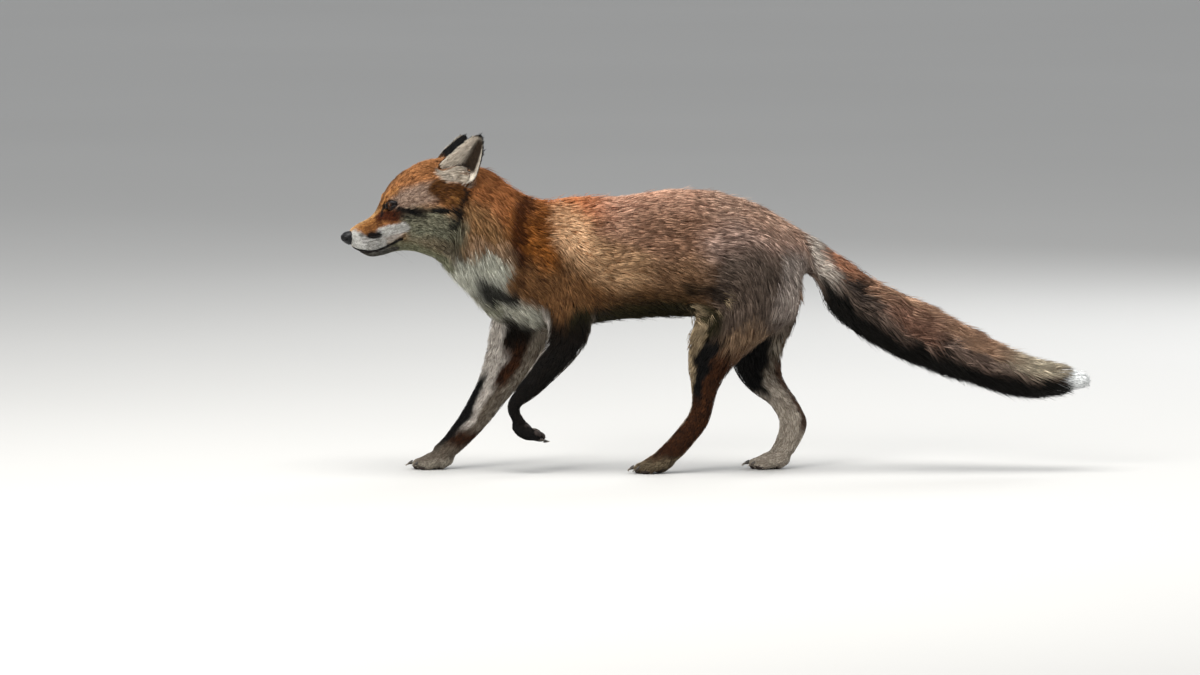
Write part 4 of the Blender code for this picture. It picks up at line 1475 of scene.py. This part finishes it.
def grow(roots, normals, parts, tree, rng):
    """The middle and the end of each tuft, the skin's normal at its middle, its width, and two
    numbers from 0 to 1: one that its lock shares and one of its own."""
    lie, depth, length = lie_of_coat(roots, parts)
    count = len(roots)
    coarse, fine = (noise_vectors(roots, size, seed) * much for much, size, seed in SWIRLS)
    swirl = coarse + fine
    stray = rng.normal(0, STRAY, (count, 3))
    lie = tangent_part(hanging(lie, normals) + swirl + stray, normals)
    guard = (rng.random(count) < GUARD_SHARE) & (depth > 3 * MM)
    length = length * rng.uniform(*LENGTHS, count) * (1 + 0.15 * noise(roots, 14 * MM, 60))
    height = depth * rng.uniform(*HEIGHTS, count)
    height += guard * np.minimum(GUARD_RISE[0] * height, GUARD_RISE[1])
    foot = line_distance(folded(in_head(roots)), EAR_FOOT)
    foot = np.exp(-((foot / 9) ** 2)) * ~on_ears(parts)
    length, height = length * (1 - SHORT_FOOT * foot), height * (1 - LOW_FOOT * foot)
    lie, length, height = ear_hair(roots, normals, parts, lie, length, height)
    lie = tangent_part(lie, normals)
    reach = np.sqrt(np.maximum(length**2 - height**2, (0.35 * length) ** 2))
    middle, middle_normal = onto_skin(roots + lie * (TO_MIDDLE * reach)[:, None], normals, tree)
    onward = tangent_part(lie, middle_normal) * ((1 - TO_MIDDLE) * reach)[:, None]
    end, end_normal = onto_skin(middle + onward, middle_normal, tree)
    middle = middle + middle_normal * (MIDDLE_HEIGHT * height)[:, None]
    end = end + end_normal * height[:, None]
    middle, end = drawn_to_point(roots, normals, middle, end, length, rng)
    middle, end, lead = gathered(roots, parts, middle, end, length, rng)
    least, more, most = TUFT_WIDTH
    width = np.minimum(least * MM + more * length, most * MM) * rng.uniform(*WIDTHS, count)
    width *= 1 - 0.35 * guard
    return middle, end, middle_normal, width, rng.random(count)[lead], rng.random(count)


def map_places(piece_number, roots):
    """Each root's place on an unwrap of the skin under its piece: run along the part and way
    round it, with a strip of the map for each line that the piece follows."""
    names = COAT[piece_number][2]
    lines = [line for name, line in (LEGS | EARS).items() if name in names] or [SPINE]
    across, along = np.zeros(len(roots)), np.zeros(len(roots))
    for number, line in enumerate(lines):
        offset, tangent, run, _ = line.near(roots)
        mine = roots[:, 1] * line.side > 0 if len(lines) > 1 else np.ones(len(roots), bool)
        round_it = line.turn_round(offset, tangent)
        across[mine] = (number + 0.02 + 0.96 * round_it[mine]) / len(lines)
        low, high = run[mine].min(), run[mine].max()
        along[mine] = (run[mine] - low) / (high - low)
    return MAP_MARGIN + (1 - 2 * MAP_MARGIN) * np.stack([along, across], axis=1)


# A tuft is a closed spindle: root 0, three points round its middle 1 to 3, and its end 4.
SPINDLE = np.array([(0, 1, 2), (0, 2, 3), (0, 3, 1), (1, 4, 2), (2, 4, 3), (3, 4, 1)])
SPINDLE_ALONG = (0.0, TO_MIDDLE, 0.5, TO_MIDDLE, 1.0)
SPINDLE_MAP = np.array([(-0.5, 0.0), (-0.05, -0.5), (0.1, 0.06), (-0.05, 0.5), (0.5, 0.0)])


def tuft_mesh(name, roots, normals, middle, end, middle_normal, width):
    """All the tufts of one piece as one mesh."""
    run = unit(end - roots)
    side = unit(np.cross(middle_normal, run))
    half = (width / 2)[:, None]
    corners = np.stack(
        [
            roots - normals * ROOT_SINK,
            middle - side * half,
            middle + middle_normal * half * THICKNESS,
            middle + side * half,
            end,
        ],
        axis=1,
    )
    loops = SPINDLE[None] + (5 * np.arange(len(roots)))[:, None, None]
    return mesh_from(name, spread_ears(corners.reshape(-1, 3)), loops, 3)


def make_coat(points, triangles, parts, tree, finder, material):
    """The coat's pieces: all the tufts grow together, then each piece takes its own."""
    rng = np.random.default_rng(SEED)
    roots, normals, root_parts, piece = scatter(points, triangles, parts, rng)
    middle, end, middle_normal, width, lock, strand = grow(roots, normals, root_parts, tree, rng)
    shape = (roots, normals, middle, end, middle_normal, width)
    shown, shown_parts = surface_at(roots + SHOWN * (end - roots), finder)
    shown_parts = np.where(on_ears(root_parts), root_parts, shown_parts)
    paint = coat_colours(shown, shown_parts, normals)
    stored = {"lock": lock, "strand": strand, "tips": paint.tips, "pale": paint.pale, "deep": paint.deep}
    for number, (name, slot, *_) in enumerate(COAT):
        mine = piece == number
        mesh = tuft_mesh(name, *(values[mine] for values in shape))
        store(mesh, "along", np.tile(SPINDLE_ALONG, mine.sum()))
        for key, values in stored.items():
            store(mesh, key, np.repeat(values[mine], 5, axis=0))
        spots = map_places(number, roots[mine])
        uv = spots[:, None, :] + PATCH * SPINDLE_MAP[SPINDLE.ravel()][None]
        layer = mesh.uv_layers.new(name="OFBake")
        layer.data.foreach_set("uv", np.clip(uv, 0, 1).astype(np.float32).ravel())
        worn_by_fox(new_object(name, mesh), material)


# ---------------------------------------------------------------- shapes made of rings


def round_turn(count):
    """Cosine and sine of even steps round a circle."""
    angles = [2 * math.pi * k / count for k in range(count)]
    return [(math.cos(angle), math.sin(angle)) for angle in angles]


def grid_mesh(name, rows):
    """A mesh of quads between rows of as many points, each row a closed loop."""
    rows = np.array(rows)
    count = rows.shape[1]
    quads = []
    for r in range(len(rows) - 1):
        for k in range(count):
            after = (k + 1) % count
            low, high = r * count, (r + 1) * count
            quads.append((low + k, low + after, high + after, high + k))
    return mesh_from(name, rows.reshape(-1, 3), quads, 4)


def joined_tubes(name, tubes):
    """Closed tubes in one piece, each from rings of points. Its points hold how far along their
    tube they are."""
    whole = bmesh.new()
    shares = []
    for rows in tubes:
        mesh = grid_mesh("tube", rows)
        first, sides = len(whole.verts), len(rows[0])
        whole.from_mesh(mesh)
        bpy.data.meshes.remove(mesh)
        whole.verts.ensure_lookup_table()
        for start in (first, first + (len(rows) - 1) * sides):
            whole.faces.new([whole.verts[start + k] for k in range(sides)])
        shares += [ring / (len(rows) - 1) for ring in range(len(rows)) for _ in range(sides)]
    bmesh.ops.recalc_face_normals(whole, faces=whole.faces)
    mesh = mesh_of(whole, name)
    store(mesh, "along", np.array(shares))
    return new_object(name, mesh)


def facing_out(mesh):
    """Turns the faces of a closed mesh outwards."""
    bm = bmesh.new()
    bm.from_mesh(mesh)
    bmesh.ops.remove_doubles(bm, verts=bm.verts, dist=1e-7)
    bmesh.ops.recalc_face_normals(bm, faces=bm.faces)
    bm.to_mesh(mesh)
    bm.free()
    for face in mesh.polygons:
        face.use_smooth = True
    return mesh


# ---------------------------------------------------------------- eyes, lids, nose

CORNEA = math.radians(38)  # reach of the clear bulge round the line of sight
CORNEA_HEIGHT = 0.9
GAZE = Vector((-0.30, 0.0, 1)).normalized()  # along the opening, up, out
PUPIL = (2.0, 4.6)  # half its width and height
IRIS_RADIUS = 7.2
EYE_RINGS = 40
EYE_SEGMENTS = 64


def make_eye(side, name, material):
    """The eyeball: a sphere with a clear bulge over the iris, looking a little forward."""
    place = eye_frame(side)
    up = Vector((0, 1, 0))
    turn = Matrix((up.cross(GAZE), up, GAZE)).transposed().to_4x4()
    rows = []
    for ring in range(EYE_RINGS + 1):
        angle = math.pi * (ring + 1e-4) / (EYE_RINGS + 2e-4)
        bulge = CORNEA_HEIGHT * max(0, 1 - (angle / CORNEA) ** 2)
        wide = (EYE_RADIUS + bulge) * math.sin(angle)
        high = (EYE_RADIUS + bulge) * math.cos(angle)
        rows.append([(wide * c, wide * s, high) for c, s in round_turn(EYE_SEGMENTS)])
    local = np.array(rows).reshape(-1, 3)
    mesh = grid_mesh(name, np.array(rows))
    mesh.vertices.foreach_set("co", moved(place @ turn, local).astype(np.float32).ravel())
    off = np.linalg.norm(local[:, :2], axis=1) / IRIS_RADIUS
    behind = local[:, 2] < 0
    store(mesh, "off_middle", np.where(behind, 2, off))
    slit = np.linalg.norm(local[:, :2] / PUPIL, axis=1)
    store(mesh, "across", np.where(behind, 3, slit))
    way = np.arctan2(local[:, 1], local[:, 0])
    store(mesh, "spoke", np.stack([6 * np.cos(way), 6 * np.sin(way), off], axis=1))
    mesh.update()
    obj = new_object(name.replace("eye", "eyeball"), facing_out(mesh))
    return worn_by_fox(obj, material, (name,))


# Rows of an eyelid from the ball outwards: growth of the opening, height over the ball or the
# skin, share of the skin's height.
LID_ROWS = (
    (-0.9, -0.9, 0.0),
    (-0.4, -0.1, 0.0),
    (0.0, 0.35, 0.05),
    (0.45, 0.55, 0.2),
    (1.0, 0.5, 0.5),
    (1.7, 0.3, 0.85),
    (2.6, 0.0, 1.0),
    (4.0, -0.6, 1.0),
    (5.2, -1.4, 1.0),
)
LID_POINTS = 72
LOOK_FROM = 30  # mm out from the eye, from where its skin is found
LID_THICKNESS = 0.3


def make_lids(side, name, tree, material):
    """The rim of the eye's opening, from its wet edge out to where the coat begins."""
    place = eye_frame(side)
    out = np.array((place.to_3x3() @ Vector((0, 0, 1))).normalized())
    rows = []
    for growth, lift, share in LID_ROWS:
        row = []
        for c, s in round_turn(LID_POINTS):
            high = (OPENING_ABOVE if s > 0 else OPENING_BELOW) + growth
            a = (OPENING_LENGTH + growth) * c
            b = math.copysign(high * (1 - c * c) ** 0.75, s)
            ball = ball_height(a, b)
            far = place @ Vector((a, b, LOOK_FROM))
            hit = tree.ray_cast(far, Vector(-out), 2 * LOOK_FROM * MM)
            skin = LOOK_FROM - hit[3] / MM if hit[0] is not None else ball
            rim = max(ball + 0.15, min(skin - 0.9, ball + 6)) if growth > -0.6 else ball - 0.2
            row.append((a, b, (1 - share) * rim + share * skin + lift))
        rows.append(row)
    points = moved(place, np.array(rows).reshape(-1, 3)).reshape(len(rows), -1, 3)
    mesh = grid_mesh(name, points if side < 0 else points[:, ::-1])
    obj = new_object(name, mesh)
    thicken = obj.modifiers.new("Thickness", "SOLIDIFY")
    thicken.thickness = LID_THICKNESS * MM
    thicken.offset = 1 if side > 0 else -1
    return worn_by_fox(obj, material)


NOSE_RADII = Vector((8.8, 9.4, 8.2))
NOSTRIL_SLIT = ((0.5, -0.12), (0.72, -0.2), (0.92, -0.08))  # out and up, as shares of the radii


def make_nose(material):
    """The nose leather: flat on top, cut back below, with two comma-shaped nostrils and the
    groove between them."""
    bm = bmesh.new()
    bmesh.ops.create_icosphere(bm, subdivisions=6, radius=1)
    points = np.array([vert.co[:] for vert in bm.verts])
    x, y, z = points.T
    out = np.array(NOSE_RADII) * np.sign(points) * np.abs(points) ** 0.84
    out[:, 1] *= 1 - 0.34 * ease(z, 0.15, -0.95) - 0.10 * ease(z, 0.3, 1.0)  # narrower below
    front = ease(x, 0.15, -0.4)
    out[:, 0] += 3.4 * ease(z, 0.25, -0.95) * front  # cut back below
    out[:, 2] += 1.4 * ease(x, -0.5, 0.7) * ease(z, 0.0, 0.6)  # level with the bridge
    out[:, 2] -= 0.8 * ease(x, -0.4, -1.0) * ease(z, 0.2, 0.8)  # and rounded down in front
    hollow = np.zeros(len(points))
    for side in (-1, 1):
        hole = np.sqrt(((y - 0.44 * side) / 0.19) ** 2 + ((z - 0.02) / 0.24) ** 2)
        slit = line_distance(np.stack([y * side, z], axis=1), NOSTRIL_SLIT)
        dent = np.maximum(4.0 * np.exp(-(hole**2.6)), 2.2 * np.exp(-((slit / 0.085) ** 2)))
        out[:, 0] += dent * front
        out[:, 1] -= 0.6 * side * dent * front * ease(np.abs(y), 0.5, 0.8)
        out[:, 0] -= 0.6 * np.exp(-(((hole - 1.55) / 0.45) ** 2)) * front
        hollow = np.maximum(hollow, ease(dent, 0.8, 2.6) * front)
    groove = np.exp(-((y / 0.06) ** 2)) * ease(z, 0.35, 0.0) * front
    out[:, 0] += 0.9 * groove
    for vert, place in zip(bm.verts, out):
        vert.co = HEAD @ (NOSE_CENTRE + Vector(place))
    mesh = mesh_of(bm, "nose_pad")
    # hollow marks the nostrils and the groove, which the finish darkens as painted shade
    store(mesh, "hollow", np.maximum(hollow, 0.7 * groove))
    return worn_by_fox(new_object("nose_pad", mesh), material, ("nose",))


# ---------------------------------------------------------------- paws: claws and pads

HIND_FOOT_OUT = 30
FRONT_FOOT_OUT = 27
TOE_ROWS = ((-1.5, 12), (-0.5, 19), (0.5, 19), (1.5, 12))  # place across, reach
TOE_PITCH = 9.6
CLAW_LENGTH = 6.5


def paw_place(x, y, z, pitch_degrees, size=1.0):
    """Row frame of a paw: toes towards -X, sole at z 0, ball at the origin, in mm."""
    tilt = Matrix.Rotation(math.radians(-pitch_degrees), 4, "Y")
    return DRAWN @ Matrix.Translation(Vector((x, y, z))) @ tilt @ Matrix.Scale(size, 4)


PAWS = {
    "front_right": paw_place(-349, FRONT_FOOT_OUT, 0, 0),
    "front_left": paw_place(-232, -FRONT_FOOT_OUT - 5, 60, 150, 0.86),
    "hind_left": paw_place(-71, -HIND_FOOT_OUT, 1.5, 5),
    "hind_right": paw_place(73, HIND_FOOT_OUT, 0, 0),
}
CLAW_RINGS = 12
CLAW_SIDES = 14


def claw_rows(place, across, reach):
    """One curved claw, narrow and a little flattened."""
    rows = []
    for ring in range(CLAW_RINGS + 1):
        share = ring / CLAW_RINGS
        radius = 2.25 * (1 - share**1.6) + 0.12
        forward = reach + 11 + (CLAW_LENGTH + 1) * share
        middle = Vector((-forward, across * TOE_PITCH, 8.6 - 3.6 * share**2))
        ring_round = [Vector((0.25 * s, 0.72 * c, s)) for c, s in round_turn(CLAW_SIDES)]
        rows.append([tuple(place @ (middle + offset * radius)) for offset in ring_round])
    return rows


def make_claws(name, place, material):
    """Four claws, which come out between the hairs."""
    claws = joined_tubes(name, [claw_rows(place, *toe) for toe in TOE_ROWS])
    return worn_by_fox(claws, material)


def make_pads(name, place, on_floor, material):
    """The bare pads under a paw, flat where they bear on the floor."""
    whole = bmesh.new()
    shapes = [((3, 0, 5.2), (10.5, 11.5, 6.2))]  # centre and radii, first of the pad behind
    for across, reach in TOE_ROWS:
        shapes.append(((-reach - 3, across * TOE_PITCH, 4.2), (7.2, 4.6, 4.6)))
    for centre, radii in shapes:
        first = len(whole.verts)
        bmesh.ops.create_icosphere(whole, subdivisions=4, radius=1)
        whole.verts.ensure_lookup_table()
        for vert in whole.verts[first:]:
            x, y, z = vert.co
            notch = 0.18 * math.exp(-((y / 0.25) ** 2)) * max(x, 0) if centre[0] > 0 else 0
            shaped = Vector((x * (1 - 0.12 * abs(y)) - notch, y * (1 - 0.15 * max(-x, 0)), z))
            vert.co = place @ (Vector(centre) + shaped * Vector(radii))
            if on_floor:
                vert.co.z = max(vert.co.z, 0)
    return worn_by_fox(new_object(name, mesh_of(whole, name)), material)


# ---------------------------------------------------------------- whiskers

WHISKER_STEPS = 9
WHISKER_SIDES = 5
WHISKER_RADIUS = 0.17  # at its root


def whisker_rows(root, direction, length, droop, side):
    """One tapered, drooping whisker, as rings of points in row metres."""
    forward = Vector(direction).normalized()
    rows = []
    for step in range(WHISKER_STEPS + 1):
        share = step / WHISKER_STEPS
        middle = Vector(root) + forward * length * share
        middle += Vector((0.25, 0.1 * side, -1)) * droop * length * share**2
        radius = WHISKER_RADIUS * (1 - 0.8 * share)
        ring = [middle + Vector((0, c, s)) * radius for c, s in round_turn(WHISKER_SIDES)]
        rows.append([tuple(HEAD @ point) for point in ring])
    return rows


def make_whiskers(side, name, tree, material):
    """Three rows on the lip and a few over the eye."""
    rng = np.random.default_rng(SEED + side)
    starts = []
    for row, z in enumerate((285, 290, 295)):
        for k in range(5):
            start = (-448 + 4.2 * k + row, 20, z + 0.6 * k)
            starts.append((start, (0.55 + 0.06 * k, 0.75, -0.25 + 0.12 * row), 24 + 6 * k, 0.25))
    for k in range(3):
        starts.append(((-411 + 4 * k, 26, 349), (0.45, 0.45, 0.75), 18 + 4 * k, 0.3))
    mirror = Vector((1, side, 1))
    whiskers = []
    for start, direction, length, droop in starts:
        root = HEAD.inverted() @ tree.find_nearest(HEAD @ (Vector(start) * mirror))[0]
        aim = (Vector(direction) + Vector(rng.normal(0, 0.08, 3))) * mirror
        length *= rng.uniform(0.85, 1.15)
        whiskers.append(whisker_rows(root, aim, length, droop, side))
    return worn_by_fox(joined_tubes(name, whiskers), material)


# ---------------------------------------------------------------- the stage

CAMERA_AIM = Vector((-0.144375, 0, 0.1675))
CAMERA_ELEVATION = math.radians(4.5)
CAMERA_DISTANCE = 12.0
CAMERA_LENS = 288.0
LIGHTS = (  # name, place, size, power, colour
    ("overhead", (-0.3, -0.6, 3.0), 2.4, 110, (1.0, 0.99, 0.97)),
    ("key", (-1.8, -2.8, 2.0), 1.5, 72, (1.0, 0.98, 0.95)),
    ("rim", (1.4, 2.6, 1.8), 1.6, 40, (0.95, 0.97, 1.0)),
)


def make_camera():
    data = bpy.data.cameras.new("camera")
    data.lens = CAMERA_LENS
    data.sensor_width = 36
    data.clip_end = 200
    camera = new_object("camera", data)
    back = Vector((0, -math.cos(CAMERA_ELEVATION), math.sin(CAMERA_ELEVATION)))
    camera.location = CAMERA_AIM + back * CAMERA_DISTANCE
    camera.rotation_euler = (-back).to_track_quat("-Z", "Y").to_euler()
    bpy.context.scene.camera = camera


def make_light(name, place, size, power, colour):
    data = bpy.data.lights.new(name, "AREA")
    data.shape = "DISK"
    data.size = size
    data.energy = power
    data.color = colour
    light = new_object(name, data)
    light.location = place
    light.rotation_euler = (Vector((0, 0, 0.2)) - Vector(place)).to_track_quat("-Z", "Y").to_euler()


def make_stage():
    """A plain pale floor under soft light from above."""
    bm = bmesh.new()
    bmesh.ops.create_grid(bm, x_segments=4, y_segments=4, size=40)
    mesh = mesh_of(bm, "floor")
    mesh.materials.append(floor_finish())
    new_object("floor", mesh)
    for light in LIGHTS:
        make_light(*light)
    world = bpy.data.worlds.new("studio")
    world.use_nodes = True
    sky = world.node_tree.nodes["Background"]
    sky.inputs["Color"].default_value = (0.92, 0.94, 0.97, 1)
    sky.inputs["Strength"].default_value = 0.6
    bpy.context.scene.world = world
    bpy.context.scene.view_settings.view_transform = "Standard"


def make_fox():
    """Every piece of the fox, from the skin out."""
    finder = part_finder()
    points, triangles, parts = make_skin(finder)
    normals = normals_of(points, triangles)
    tree = tree_of(points, triangles)
    make_skin_object(points, triangles, parts, normals, finder)
    make_coat(points, triangles, parts, tree, finder, coat_finish())
    iris = iris_finish()
    lid = leather_finish("eyelid", rgb(10, 7, 7), rgb(26, 19, 17), 1500.0, 0.5)
    nose = leather_finish("nose_leather", rgb(3, 3, 4), rgb(11, 10, 13), 1300.0, 0.45, 0.1)
    pad = leather_finish("paw_pad", rgb(28, 23, 21), rgb(58, 48, 43), 900.0, 0.7)
    horn, hair = horn_finish(), whisker_finish()
    for side, name in ((-1, "left"), (1, "right")):
        make_eye(side, "eye_" + name, iris)
        make_lids(side, "eyelids_" + name, tree, lid)
        make_whiskers(side, "whiskers_" + name, tree, hair)
    make_nose(nose)
    for name, place in PAWS.items():
        make_claws("claws_" + name, place, horn)
        make_pads("pads_" + name, place, name != "front_left", pad)


make_camera()
make_stage()
make_fox()
